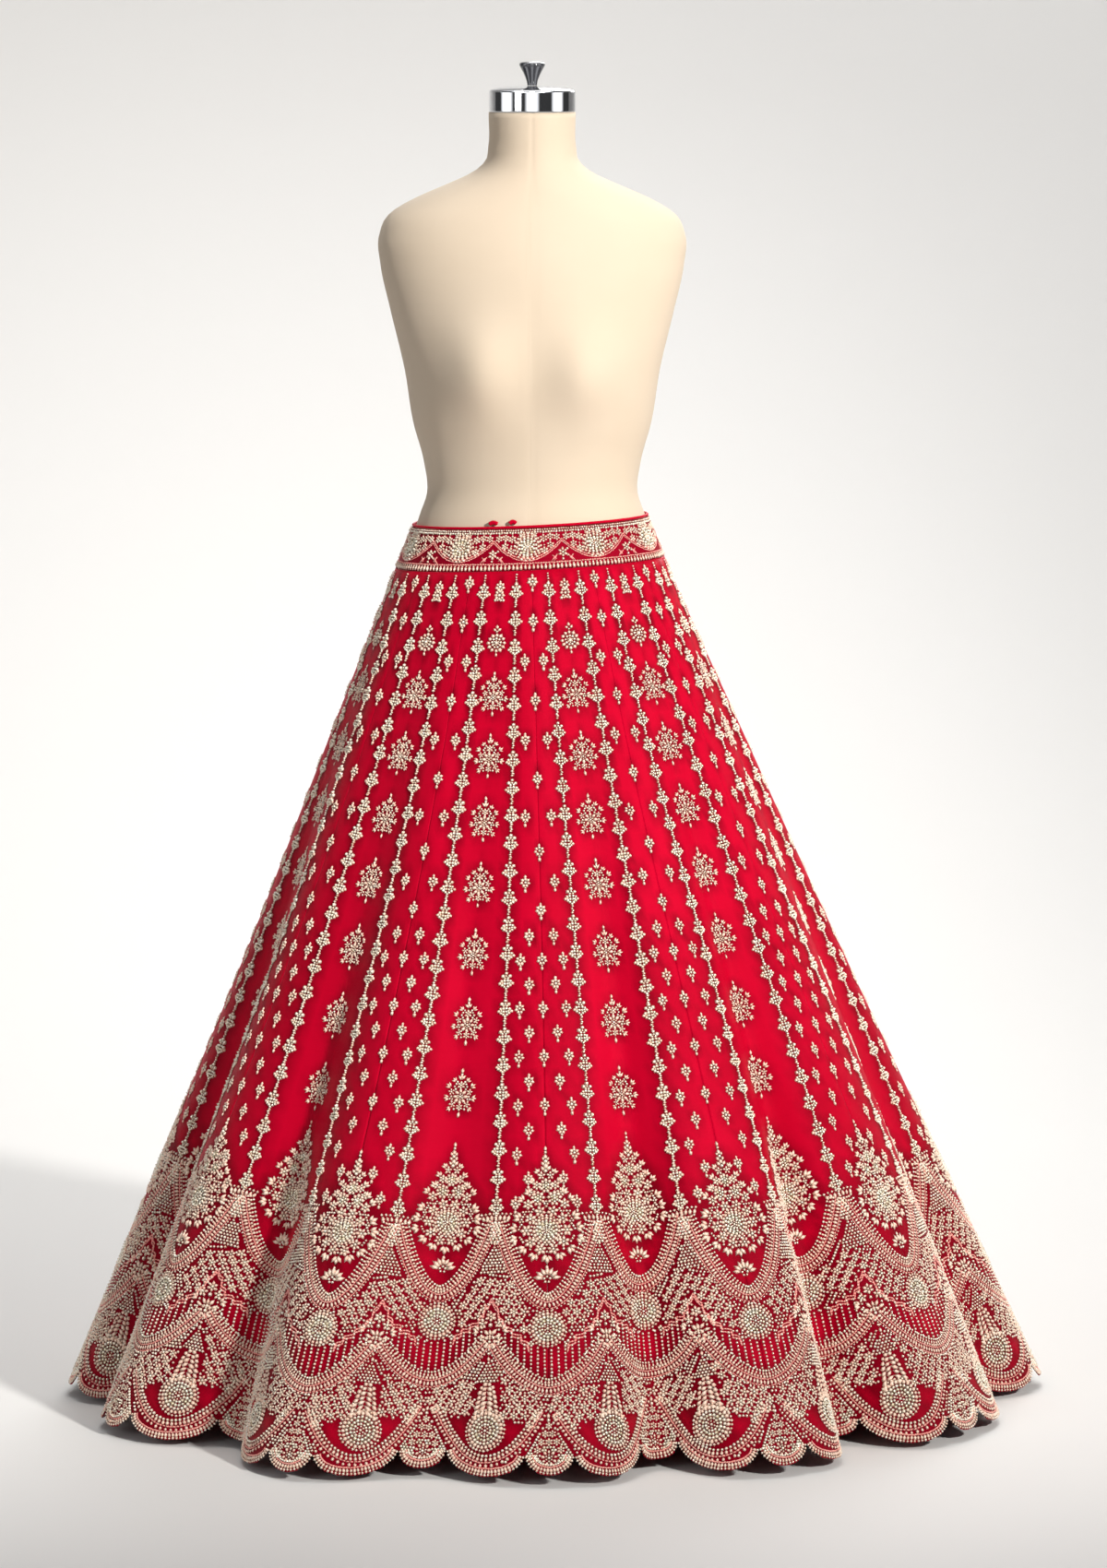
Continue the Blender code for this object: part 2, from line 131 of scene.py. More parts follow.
# Soft creases, listed one by one: place and slant (m) where each starts, length (m), lean in
# kalis, depth (mm, negative is a ridge) and half width (mm)
creases = [
    (0.34, 0.03, 0.46, 0.05, 1.6, 11), (0.7, 0.1, 0.52, -0.04, 1.2, 9), (0.12, 0.34, 0.38, 0.05, -1.3, 14),
    (1.22, 0.05, 0.4, 0.06, 1.8, 12), (1.66, 0.16, 0.5, -0.05, 1.5, 10), (1.42, 0.02, 0.2, 0.02, -1.2, 8),
    (2.18, 0.08, 0.48, -0.03, 1.4, 11), (2.6, 0.04, 0.36, 0.06, 1.9, 12), (2.86, 0.3, 0.4, 0.03, -1.4, 15),
    (3.3, 0.06, 0.5, 0.05, 1.6, 12), (3.72, 0.12, 0.34, -0.06, 1.3, 9), (4.16, 0.03, 0.44, 0.04, 1.7, 11),
    (4.55, 0.22, 0.46, -0.03, 1.5, 13), (4.84, 0.06, 0.28, 0.03, -1.2, 10), (5.28, 0.1, 0.5, 0.05, 1.8, 12),
    (5.74, 0.04, 0.38, -0.05, 1.3, 9), (6.2, 0.14, 0.48, 0.04, 1.5, 12), (6.58, 0.02, 0.3, 0.04, 1.6, 10),
    (6.9, 0.28, 0.42, -0.04, -1.5, 15), (7.32, 0.07, 0.46, 0.05, 1.7, 12), (7.7, 0.18, 0.4, -0.05, 1.4, 10),
    (8.14, 0.03, 0.42, 0.03, 1.6, 11), (8.62, 0.1, 0.5, -0.04, 1.9, 13), (9.2, 0.05, 0.36, 0.06, 1.4, 10),
    (9.66, 0.2, 0.44, -0.04, 1.6, 12), (9.92, 0.04, 0.24, 0.02, -1.1, 8), (10.3, 0.08, 0.5, 0.05, 1.7, 11),
    (10.7, 0.16, 0.42, -0.05, 1.5, 12), (11.16, 0.04, 0.4, 0.04, 1.5, 10), (11.44, 0.3, 0.36, 0.05, 1.9, 14),
    (11.78, 0.08, 0.52, -0.03, 1.3, 10), (11.92, 0.42, 0.26, 0.04, -1.2, 12),
    (0.86, 0.46, 0.24, 0.03, 1.4, 12),
]

# height, half width, half depth, shift in Y: the form from under the hips to its neck
formSections = [
    (0.7220, 0.1500, 0.1120, 0.000), (0.7600, 0.1620, 0.1200, 0.000), (0.8300, 0.1680, 0.1210, 0.000),
    (0.9000, 0.1620, 0.1155, 0.000), (0.9550, 0.1575, 0.1127, 0.000), (1.0190, 0.1317, 0.0947, 0.000),
    (1.0480, 0.1215, 0.0885, 0.000), (1.0850, 0.1250, 0.0910, -0.001), (1.1300, 0.1370, 0.0980, -0.003),
    (1.1900, 0.1465, 0.1050, -0.005), (1.2600, 0.1630, 0.1030, -0.004), (1.3100, 0.1740, 0.0970, -0.002),
    (1.3450, 0.1755, 0.0880, 0.000), (1.3700, 0.1620, 0.0790, 0.001), (1.3880, 0.1310, 0.0720, 0.002),
    (1.4030, 0.0960, 0.0650, 0.002), (1.4155, 0.0690, 0.0570, 0.001), (1.4270, 0.0550, 0.0520, 0.000),
    (1.4450, 0.0505, 0.0505, 0.000), (1.4840, 0.0500, 0.0500, 0.000),
]

form = {
    "bustZ": 1.19,
    "bustRise": 0.020,
    "cupSpread": 0.062,
    "cupWidth": 0.042,
    "cupHeight": 0.055,
    "cupFade": 0.060,
    "sides": 144,
    "rowStep": 0.0065,
    "tuckUnderSkirt": 0.0010,   # keeps the smooth cover clear of the band's inside
    "tuckFrom": (0.74, 0.03),   # height where the tuck begins and over how much, then where it ends
    "tuckTo": (1.012, 0.018),
    "seams": (0.0, math.pi, math.pi / 2, -math.pi / 2),     # front, back and sides
    "seamDepth": 0.0007,
    "seamWidth": 0.0022,
    # angle from the front, height and depth
    "neckWrinkles": [(-0.35, 1.438, 0.0010), (0.10, 1.444, 0.0008), (-0.9, 1.452, 0.0007),
                     (0.75, 1.449, 0.0009)],
    "wrinkleHeight": 0.003,
    "wrinkleReach": 0.45,
    "wrinkleSag": 0.006,
    "meanRadius": 0.13,
    "plateHeight": 0.006,
    "plateRound": 0.0015,
}

band = {
    "height": 0.046,
    "wall": 0.0025,
    "thickness": 0.0013,
    "foldTuck": 0.0007,     # its edges are folded over, so they are a little rounder than the face
    "foldWidth": 0.0016,
    "columns": 288,
    "rows": 10,
    "surfaceRows": 14,
    "pipingRadius": 0.0016,
    "cordRadius": 0.0024,
    # name, the solid it replaces, first and last x, rise of the loop
    "drawstring": [("drawstringBow", "drawstring_bow", -0.0478, -0.0386, 0.0018),
                   ("drawstringEnd", "drawstring_end", -0.0254, -0.0180, 0.0022)],
}


# Surfaces

def smoothStep(value):
    t = np.clip(value, 0.0, 1.0)
    return t * t * (3 - 2 * t)


def readCurve(rows, column, height):
    # A smooth curve through one column of a table whose first column is the height
    table = np.array(sorted(rows))
    heights, values = table[:, 0], table[:, column]
    slopes = np.gradient(values, heights)
    height = np.clip(height, heights[0], heights[-1])
    index = np.clip(np.searchsorted(heights, height) - 1, 0, len(heights) - 2)
    span = heights[index + 1] - heights[index]
    t = (height - heights[index]) / span
    start = (2 * t**3 - 3 * t**2 + 1) * values[index] + (t**3 - 2 * t**2 + t) * span * slopes[index]
    end = (3 * t**2 - 2 * t**3) * values[index + 1] + (t**3 - t**2) * span * slopes[index + 1]
    return start + end


def readLine(rows, column, height):
    table = np.array(rows)
    return np.interp(height, table[:, 0], table[:, column])


def addUp(steps):
    # The way from the start of a line to each of its points
    return np.concatenate(([0.0], np.cumsum(steps)))


def runAlong(points):
    return addUp(np.linalg.norm(np.diff(points, axis=0), axis=1))


def roundKalis(column, place):
    first = np.floor(place).astype(int) % skirt["kalis"]
    ease = smoothStep(place - np.floor(place))
    values = skirtFolds[:, column]
    return values[first] * (1 - ease) + values[(first + 1) % skirt["kalis"]] * ease


def skirtRing(height, steps):
    # The section at a height, with even steps in length across each kali
    kalis = skirt["kalis"]
    halfWidth, halfDepth, shift = (readCurve(skirtSections, column, height) for column in (1, 2, 3))
    share = np.clip((skirt["seamZ"] - height) / skirt["seamZ"], 0.0, 1.0)
    fine = np.linspace(0.0, 2 * math.pi, 2881)
    x, y = halfWidth * np.sin(fine), -halfDepth * np.cos(fine)
    length = addUp(np.hypot(np.diff(x), np.diff(y)))
    raw = 4 * steps
    place = np.linspace(0.0, kalis, kalis * raw + 1)
    way = (place + roundKalis(5, place) * share) / kalis * length[-1]
    turns = np.floor(way / length[-1])
    angle = np.interp(way - turns * length[-1], length, fine) + 2 * math.pi * turns
    kali = np.floor(place).astype(int) % kalis
    across = place - np.floor(place)
    valley, middle, width = skirtFolds[kali, 0], skirtFolds[kali, 1], skirtFolds[kali, 2]
    ridge = skirt["ridgeRise"] * roundKalis(3, place) * np.cos(math.pi * across)**2
    bell = np.exp(-((across - middle) / width)**2)
    edgeBell = np.exp(-((np.round(across) - middle) / width)**2)
    offset = share**skirt["foldGrowth"] * (ridge - valley * (bell - edgeBell))
    normalX, normalY = halfDepth * np.sin(angle), -halfWidth * np.cos(angle)
    size = np.hypot(normalX, normalY)
    x = halfWidth * np.sin(angle) + offset * normalX / size + shift
    y = -halfDepth * np.cos(angle) + offset * normalY / size
    columns = []
    for index in range(kalis):
        span = slice(index * raw, (index + 1) * raw + 1)
        run = addUp(np.hypot(np.diff(x[span]), np.diff(y[span])))
        even = np.linspace(0.0, run[-1], steps + 1)[:-1]
        columns.append(np.column_stack((np.interp(even, run, x[span]), np.interp(even, run, y[span]))))
    ring = np.concatenate(columns)
    return np.concatenate((ring, ring[:1]))


ringHeights = np.linspace(-0.02, 1.01, 60)
rings = np.array([skirtRing(height, skirt["gridColumns"]) for height in ringHeights])


def skirtXY(place, height):
    column = np.mod(place, skirt["kalis"]) * skirt["gridColumns"]
    first = np.minimum(column.astype(int), skirt["kalis"] * skirt["gridColumns"] - 1)
    row = np.clip((height - ringHeights[0]) / (ringHeights[1] - ringHeights[0]), 0, len(ringHeights) - 1.001)
    low = row.astype(int)
    sideways, upwards = (column - first)[..., None], (row - low)[..., None]
    near = rings[low, first] * (1 - upwards) + rings[low + 1, first] * upwards
    far = rings[low, first + 1] * (1 - upwards) + rings[low + 1, first + 1] * upwards
    return near * (1 - sideways) + far * sideways


def scallopDrop(place):
    across = place - np.floor(place)
    half = skirt["fanHalf"]
    edges = (-half, half, 0.5 - half, 0.5 + half, 1 - half, 1 + half)
    drop = np.zeros_like(across)
    for index, (start, end) in enumerate(zip(edges, edges[1:])):
        depth = skirt["fanDrop"] if index % 2 == 0 else skirt["largeDrop"]
        arc = depth * np.sqrt(np.maximum(0.0, 1 - ((across - start) * 2 / (end - start) - 1)**2))
        drop = np.where((across >= start) & (across <= end), arc, drop)
    return drop


def seamHeight(place):
    return skirt["seamZ"] + skirt["seamTilt"] * skirtXY(place, np.full_like(place, skirt["seamZ"]))[..., 0]


def notchHeight(place):
    return skirt["hemClear"] + skirt["largeDrop"] + roundKalis(4, place)


def makeSurface(points, firstColumn, columnStep, rowStep):
    # points run down and all round; keeps normals, tangents and metres for each unit of place
    wide = np.concatenate((points[:, -2:-1], points, points[:, 1:2]), axis=1)
    across = (wide[:, 2:] - wide[:, :-2]) / (2 * columnStep)
    down = np.gradient(points, axis=0) / rowStep
    normal = np.cross(down, across)
    normal /= np.maximum(np.linalg.norm(normal, axis=2, keepdims=True), 1e-12)
    width = np.linalg.norm(across, axis=2, keepdims=True)
    return {"points": points, "normals": normal, "across": across / width, "widths": width,
            "first": firstColumn, "column": columnStep, "row": rowStep}


def readSurface(surface, name, place, slant):
    grid = surface[name]
    column = np.mod((place - surface["first"]) / surface["column"], grid.shape[1] - 1)
    column = np.clip(column, 0, grid.shape[1] - 1.0001)
    row = np.clip(slant / surface["row"], 0, grid.shape[0] - 1.0001)
    left, top = column.astype(int), row.astype(int)
    u, v = (column - left)[..., None], (row - top)[..., None]
    upper = grid[top, left] * (1 - u) + grid[top, left + 1] * u
    lower = grid[top + 1, left] * (1 - u) + grid[top + 1, left + 1] * u
    return upper * (1 - v) + lower * v


def makeSkirtSurface():
    kalis, columns = skirt["kalis"], skirt["gridColumns"]
    places = np.linspace(0.0, kalis, kalis * columns + 1)
    slants = np.arange(0.0, skirt["surfaceLength"], skirt["gridRow"])
    points = np.zeros((len(slants), len(places), 3))
    notches = np.zeros(len(places))
    steps = np.linspace(0.0, 1.0, 260)
    for index, place in enumerate(places):
        here = np.full_like(steps, place)
        top, notch = float(seamHeight(here[:1])[0]), float(notchHeight(here[:1])[0])
        heights = top + (notch - skirt["belowNotch"] - top) * steps
        curve = np.column_stack((skirtXY(here, heights), heights))
        run = runAlong(curve)
        for axis in range(3):
            points[:, index, axis] = np.interp(slants, run, curve[:, axis])
        notches[index] = np.interp(-notch, -heights, run)
    surface = makeSurface(points, 0.0, 1 / columns, skirt["gridRow"])
    offset = np.zeros(points.shape[:2])
    for start, firstSlant, length, lean, depth, halfWidth in creases:
        t = (slants - firstSlant) / length
        fade = np.where((t > 0) & (t < 1), np.sin(math.pi * np.clip(t, 0, 1))**2, 0.0)
        gap = places[None, :] - (start + lean * t)[:, None]
        gap -= kalis * np.round(gap / kalis)
        metres = gap * surface["widths"][:, :, 0]
        offset -= depth * mm * fade[:, None] * np.exp(-(metres / (halfWidth * mm))**2)
    points = points + offset[..., None] * surface["normals"]
    surface = makeSurface(points, 0.0, 1 / columns, skirt["gridRow"])
    surface["notches"] = np.repeat(notches[None, :, None], 2, axis=0)
    return surface


skirtSurface = makeSkirtSurface()


def notchSlant(place):
    # The slant of the line through the hem's notches
    return readSurface(skirtSurface, "notches", place, np.zeros_like(place))[..., 0]


def formPoint(angle, height, out=0.0, read=readCurve):
    x = (read(formSections, 1, height) + out) * np.sin(angle)
    y = -(read(formSections, 2, height) + out) * np.cos(angle) + read(formSections, 3, height)
    cups = sum(np.exp(-((x - side * form["cupSpread"]) / form["cupWidth"])**2) for side in (-1, 1))
    rise = np.exp(-((height - form["bustZ"]) / form["cupHeight"])**2)
    y = y - form["bustRise"] * cups * rise * smoothStep(-y / form["cupFade"])
    return np.stack((x, y, height + 0 * x), axis=-1)


def bandPoint(angle, rise, out):
    # On the tilted band, that far above its lower edge and out of the form
    flat = skirt["seamZ"] + rise
    height = flat + skirt["seamTilt"] * readLine(formSections, 1, flat) * np.sin(angle)
    return formPoint(angle, height, out, readLine)


def makeBandSurface():
    # Place is in metres round the band from the front centre, slant in metres down from its top
    angles = np.linspace(-math.pi, math.pi, band["columns"] * 4 + 1)
    out = 1.5 * skirt["seamGap"] + band["wall"]
    run = runAlong(bandPoint(angles, np.full_like(angles, band["height"] / 2), out))
    even = np.linspace(0.0, run[-1], band["columns"] + 1)
    evenAngles = np.interp(even, run, angles)
    rises = np.linspace(band["height"], 0.0, band["surfaceRows"] + 1)
    points = np.array([bandPoint(evenAngles, np.full_like(evenAngles, rise), out) for rise in rises])
    surface = makeSurface(points, -run[-1] / 2, even[1], band["height"] / band["surfaceRows"])
    surface["length"] = float(run[-1])
    return surface


bandSurface = makeBandSurface()
print("surfaces worked out: band", round(bandSurface["length"], 4), "m")


# Node groups shared by the finishes

def addNode(tree, kind, inputs, **settings):
    # settings are the node's own; inputs are sockets and what feeds them
    node = tree.nodes.new(kind)
    for name, value in settings.items():
        setattr(node, name, value)
    for socket, value in inputs.items():
        if isinstance(value, bpy.types.NodeSocket):
            tree.links.new(value, node.inputs[socket])
        elif value is not None:
            node.inputs[socket].default_value = value
    return node.outputs


def newGroup(name, inputs, outputs):
    tree = bpy.data.node_groups.new(name, "ShaderNodeTree")
    for title, kind, value in inputs:
        socket = tree.interface.new_socket(name=title, in_out="INPUT", socket_type=kind)
        if value is not None:
            socket.default_value = value
    for title in outputs:
        tree.interface.new_socket(name=title, in_out="OUTPUT", socket_type="NodeSocketFloat")
    return tree, tree.nodes.new("NodeGroupInput").outputs, tree.nodes.new("NodeGroupOutput").inputs


def mathNode(tree, operation, first, second, clamp=False):
    return addNode(tree, "ShaderNodeMath", {0: first, 1: second}, operation=operation, use_clamp=clamp)[0]


def mixColor(tree, factor, dark, light):
    colors = [(*color, 1.0) if isinstance(color, tuple) else color for color in (dark, light)]
    return addNode(tree, "ShaderNodeMix", {0: factor, 6: colors[0], 7: colors[1]}, data_type="RGBA")[2]


def noiseNode(tree, vector, scale, detail=2.0, roughness=0.5):
    inputs = {"Vector": vector, "Scale": scale, "Detail": detail, "Roughness": roughness}
    return addNode(tree, "ShaderNodeTexNoise", inputs)[0]


def stretched(tree, vector, scale):
    return addNode(tree, "ShaderNodeMapping", {"Vector": vector, "Scale": scale})[0]


def makeSlubGroup():
    # Raw silk or cotton: long thick threads across, fine threads both ways, and cloudiness
    tree, start, end = newGroup(
        "slubWeave",
        [("Vector", "NodeSocketVector", None), ("Threads", "NodeSocketFloat", 900.0),
         ("Slubs", "NodeSocketFloat", 0.5)],
        ["Height", "Cloud"])
    slubs = noiseNode(tree, stretched(tree, start["Vector"], (9.0, 420.0, 9.0)), 1.0, 3.0, 0.6)
    thread = {"Vector": start["Vector"], "Scale": start["Threads"], "Distortion": 0.6}
    warp = addNode(tree, "ShaderNodeTexWave", thread, bands_direction="X")[1]
    weft = addNode(tree, "ShaderNodeTexWave", thread, bands_direction="Y")[1]
    threads = mathNode(tree, "MULTIPLY", mathNode(tree, "ADD", warp, weft), 0.3)
    height = mathNode(tree, "ADD", threads, mathNode(tree, "MULTIPLY", slubs, start["Slubs"]))
    tree.links.new(height, end["Height"])
    tree.links.new(noiseNode(tree, start["Vector"], 7.0, 4.0), end["Cloud"])
    return tree


def makeSpeckleGroup():
    # Beads, stitches and knots differ a little from one to the next
    tree, start, end = newGroup(
        "speckle", [("Vector", "NodeSocketVector", None), ("Grain", "NodeSocketFloat", 260.0)],
        ["Speck", "Drift"])
    cells = addNode(tree, "ShaderNodeTexVoronoi", {"Vector": start["Vector"], "Scale": start["Grain"]},
                    feature="F1")
    split = addNode(tree, "ShaderNodeSeparateColor", {0: cells["Color"]})
    tree.links.new(split[0], end["Speck"])
    tree.links.new(noiseNode(tree, start["Vector"], 14.0, 3.0), end["Drift"])
    return tree


def makeSmudgeGroup():
    # Faint wipes and dust on polished pieces
    tree, start, end = newGroup(
        "smudge",
        [("Vector", "NodeSocketVector", None), ("Clean", "NodeSocketFloat", 0.06),
         ("Wiped", "NodeSocketFloat", 0.16)],
        ["Roughness"])
    wipes = noiseNode(tree, stretched(tree, start["Vector"], (30.0, 30.0, 12.0)), 1.0, 4.0, 0.6)
    spread = mathNode(tree, "SUBTRACT", start["Wiped"], start["Clean"])
    rough = mathNode(tree, "ADD", start["Clean"], mathNode(tree, "MULTIPLY", wipes, spread))
    tree.links.new(rough, end["Roughness"])
    return tree


slubGroup = makeSlubGroup()
speckleGroup = makeSpeckleGroup()
smudgeGroup = makeSmudgeGroup()


def newMaterial(name, settings):
    # settings are constants of the Principled shader
    material = bpy.data.materials.new(name)
    material.use_nodes = True
    shader = material.node_tree.nodes["Principled BSDF"]
    for title, value in settings.items():
        shader.inputs[title].default_value = value
    return material, material.node_tree, shader


def placeGroup(tree, group, vector, values):
    return addNode(tree, "ShaderNodeGroup", {"Vector": vector, **values}, node_tree=group)


def objectVector(tree):
    return addNode(tree, "ShaderNodeTexCoord", {})["Object"]


def clothVector(tree):
    return addNode(tree, "ShaderNodeUVMap", {}, uv_map="cloth")[0]


def paint(tree, shader, factor, dark, light):
    tree.links.new(mixColor(tree, factor, dark, light), shader.inputs["Base Color"])


def addBump(tree, shader, height, strength, distance):
    bump = addNode(tree, "ShaderNodeBump", {"Height": height, "Strength": strength, "Distance": distance})
    tree.links.new(bump[0], shader.inputs["Normal"])


surfaces = {
    "beadShadeDepth": 0.72,     # painted shade: how much darker the silk is painted between close beads
    "beadShadeFullCover": 0.62,      # covered share of the cloth at which the painted shade is darkest
    "silk": {"Roughness": 0.46, "Sheen Weight": 0.30, "Sheen Roughness": 0.35,
             "Sheen Tint": (1.0, 0.004, 0.05, 1.0), "Specular IOR Level": 0.30,
             "Specular Tint": (1.0, 0.05, 0.10, 1.0)},
    "cotton": {"Roughness": 0.85, "Sheen Weight": 0.15, "Sheen Roughness": 0.5, "Specular IOR Level": 0.25},
    "thread": {"Roughness": 0.42, "Sheen Weight": 0.2, "Sheen Tint": (1.0, 0.75, 0.65, 1.0)},
}


def makeSilk(name, dark, light, slubs=0.5):
    material, tree, shader = newMaterial(name, surfaces["silk"])
    weave = placeGroup(tree, slubGroup, clothVector(tree), {"Threads": 900.0, "Slubs": slubs})
    tone = mathNode(tree, "ADD", mathNode(tree, "MULTIPLY", weave["Cloud"], 0.7),
                    mathNode(tree, "MULTIPLY", weave["Height"], 0.35), clamp=True)
    # Painted shade: where close beads cover the cloth, the silk's colour is mixed towards a near-black red,
    # standing in for the shade between the beads
    shade = addNode(tree, "ShaderNodeAttribute", {}, attribute_name="paintedBeadShade")["Fac"]
    under = mathNode(tree, "MULTIPLY", shade, surfaces["beadShadeDepth"])
    paint(tree, shader, under, mixColor(tree, tone, dark, light), tuple(value * 0.12 for value in dark))
    addBump(tree, shader, weave["Height"], 0.25, 0.0006)
    return material


def makeCotton():
    material, tree, shader = newMaterial("creamCotton", surfaces["cotton"])
    weave = placeGroup(tree, slubGroup, clothVector(tree), {"Threads": 700.0, "Slubs": 0.15})
    paint(tree, shader, weave["Cloud"], (0.655, 0.53, 0.39), (0.74, 0.615, 0.475))
    addBump(tree, shader, weave["Height"], 0.3, 0.0005)
    return material


def makeThread(name, dark, light):
    material, tree, shader = newMaterial(name, surfaces["thread"])
    vector = objectVector(tree)
    speck = placeGroup(tree, speckleGroup, vector, {"Grain": 420.0})
    tone = mathNode(tree, "ADD", mathNode(tree, "MULTIPLY", speck["Speck"], 0.7),
                    mathNode(tree, "MULTIPLY", speck["Drift"], 0.4), clamp=True)
    paint(tree, shader, tone, dark, light)
    addBump(tree, shader, noiseNode(tree, vector, 2600.0, 1.0), 0.4, 0.0003)
    return material


def makeBead(name, dark, light, metallic, roughness):
    coat = {"Metallic": metallic, "Coat Weight": 0.6, "Coat Roughness": 0.12}
    material, tree, shader = newMaterial(name, coat)
    speck = placeGroup(tree, speckleGroup, objectVector(tree), {"Grain": 330.0})
    paint(tree, shader, speck["Speck"], dark, light)
    rough = mathNode(tree, "ADD", mathNode(tree, "MULTIPLY", speck["Drift"], 0.2), roughness)
    tree.links.new(rough, shader.inputs["Roughness"])
    return material


def makeMetal(name, color, clean, wiped, metallic=1.0, coat=0.0):
    material, tree, shader = newMaterial(name, {"Metallic": metallic, "Coat Weight": coat})
    vector = objectVector(tree)
    smudge = placeGroup(tree, smudgeGroup, vector, {"Clean": clean, "Wiped": wiped})
    tree.links.new(smudge["Roughness"], shader.inputs["Roughness"])
    paint(tree, shader, noiseNode(tree, vector, 18.0, 3.0), tuple(value * 0.86 for value in color), color)
    return material


silk = makeSilk("crimsonSilk", (0.38, 0.0002, 0.011), (0.62, 0.0004, 0.026))
# The band's silk is the crimson silk at about half its brightness: painted shade among the band's close
# beads
bandSilkPaintedShade = makeSilk("bandSilkPaintedShade", (0.19, 0.0002, 0.007), (0.30, 0.0004, 0.015), 0.3)
cotton = makeCotton()
chrome = makeMetal("polishedChrome", (0.86, 0.87, 0.89), 0.03, 0.09)
paintedSteel = makeMetal("brushedSteel", (0.60, 0.61, 0.63), 0.22, 0.36)
darkKnob = makeMetal("darkKnob", (0.045, 0.045, 0.052), 0.10, 0.20, metallic=0.0, coat=1.0)
print("finishes made")


# Pieces

def smoothFaces(mesh):
    for polygon in mesh.polygons:
        polygon.use_smooth = True


def linkPiece(name, mesh, material, replaced):
    mesh.materials.clear()
    mesh.materials.append(material)
    smoothFaces(mesh)
    piece = linkObject(name, mesh)
    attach(piece, "root")
    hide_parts(replaced)
    return piece


def gridQuads(index, around):
    # Faces between the rows of a grid of vertex numbers
    here = index if around else index[:, :-1]
    after = np.roll(index, -1, axis=1) if around else index[:, 1:]
    return np.stack((here[:-1], here[1:], after[1:], after[:-1]), axis=-1).reshape(-1, 4)


def wrapGrid(outer, inner, closed):
    # A closed wall from an outer and an inner grid of points that run down and round
    rows, columns = outer.shape[:2]
    verts = np.concatenate((outer.reshape(-1, 3), inner.reshape(-1, 3)))
    index = np.arange(rows * columns).reshape(rows, columns)
    shift = rows * columns
    quads = gridQuads(index, closed)
    rims = [np.stack((index[0] + shift, index[0])), np.stack((index[-1], index[-1] + shift))]
    faces = [quads, quads[:, ::-1] + shift] + [gridQuads(rim, closed) for rim in rims]
    if not closed:
        left, right = index[:, 0], index[:, -1]
        faces.append(np.stack((left[:-1], left[:-1] + shift, left[1:] + shift, left[1:]), axis=-1))
        faces.append(np.stack((right[1:], right[1:] + shift, right[:-1] + shift, right[:-1]), axis=-1))
    return verts, np.concatenate(faces)


def meshFrom(name, verts, faces, uv=None):
    mesh = bpy.data.meshes.new(name)
    mesh.from_pydata([tuple(vert) for vert in verts], [], [tuple(int(i) for i in face) for face in faces])
    if uv is not None:
        layer = mesh.uv_layers.new(name="cloth")
        loops = np.zeros(len(mesh.loops), dtype=np.int32)
        mesh.loops.foreach_get("vertex_index", loops)
        layer.data.foreach_set("uv", np.asarray(uv, dtype=np.float32)[loops].ravel())
    return mesh


def fixOutward(mesh):
    work = bmesh.new()
    work.from_mesh(mesh)
    bmesh.ops.recalc_face_normals(work, faces=work.faces)
    work.to_mesh(mesh)
    work.free()


def kaliColumns():
    half = skirt["fanHalf"]
    notches = (0.0, half, 0.5 - half, 0.5 + half, 1 - half, 1.0)
    places = [0.0]
    for start, end, steps in zip(notches, notches[1:], skirt["spanColumns"]):
        places += [start + (end - start) * step / steps for step in range(1, steps + 1)]
    near = [value for value in skirt["seamColumns"] if value > 0]
    return np.array(sorted(set(places + near + [1 - value for value in near])))


kaliGrids = []      # each kali's mesh with the places and slants of its points


def makeKali(index):
    # One gore, cut to the scalloped hem, dipping a little into the seams at its sides
    title = f"kaliCloth_{index + 1:02d}"
    trim = skirt["seamGap"] / 6 / skirt["kaliWidth"]
    place = index + trim + kaliColumns() * (1 - 2 * trim)
    shares = np.linspace(0.0, 1.0, skirt["rows"] + 1)
    shares = shares - skirt["rowCrowding"] * np.sin(2 * math.pi * shares)
    top, notch = skirt["topClear"], notchSlant(place)
    edge = notch + scallopDrop(place) * skirt["scallopShare"]
    fade = smoothStep((shares - 1 + skirt["scallopReach"]) / skirt["scallopReach"])
    slants = top + (notch - top)[None, :] * shares[:, None] + (edge - notch)[None, :] * fade[:, None]
    grid = np.broadcast_to(place, slants.shape)
    points, normals, widths = (readSurface(skirtSurface, name, grid, slants)
                               for name in ("points", "normals", "widths"))
    widths = widths[..., 0]
    seamWay = np.minimum(grid - index, index + 1 - grid) * widths
    tuck = skirt["seamTuck"] * np.exp(-(seamWay / skirt["seamTuckWidth"])**2)
    points = points - normals * tuck[..., None]
    verts, faces = wrapGrid(points, points - normals * skirt["thickness"], False)
    uv = np.stack((grid * float(widths.mean()), -slants), axis=-1).reshape(-1, 2)
    mesh = meshFrom(title, verts, faces, np.concatenate((uv, uv)))
    piece = linkPiece(title, mesh, silk, f"kali_{index + 1:02d}")
    kaliGrids.append((mesh, grid, slants))
    cells = widths[:-1, :-1] * np.diff(grid, axis=1)[:-1] * np.diff(slants, axis=0)[:, :-1]
    hem, length, area = float(widths[-1].max()), float(edge.max()), float(cells.sum())
    return hem, length, area


kaliCuts = [makeKali(index) for index in range(skirt["kalis"])]
for index, (hem, length, area) in enumerate(kaliCuts):
    print(f"kali {index + 1}: hem {hem:.3f} m, length {length:.3f} m, area {area:.4f} m2")


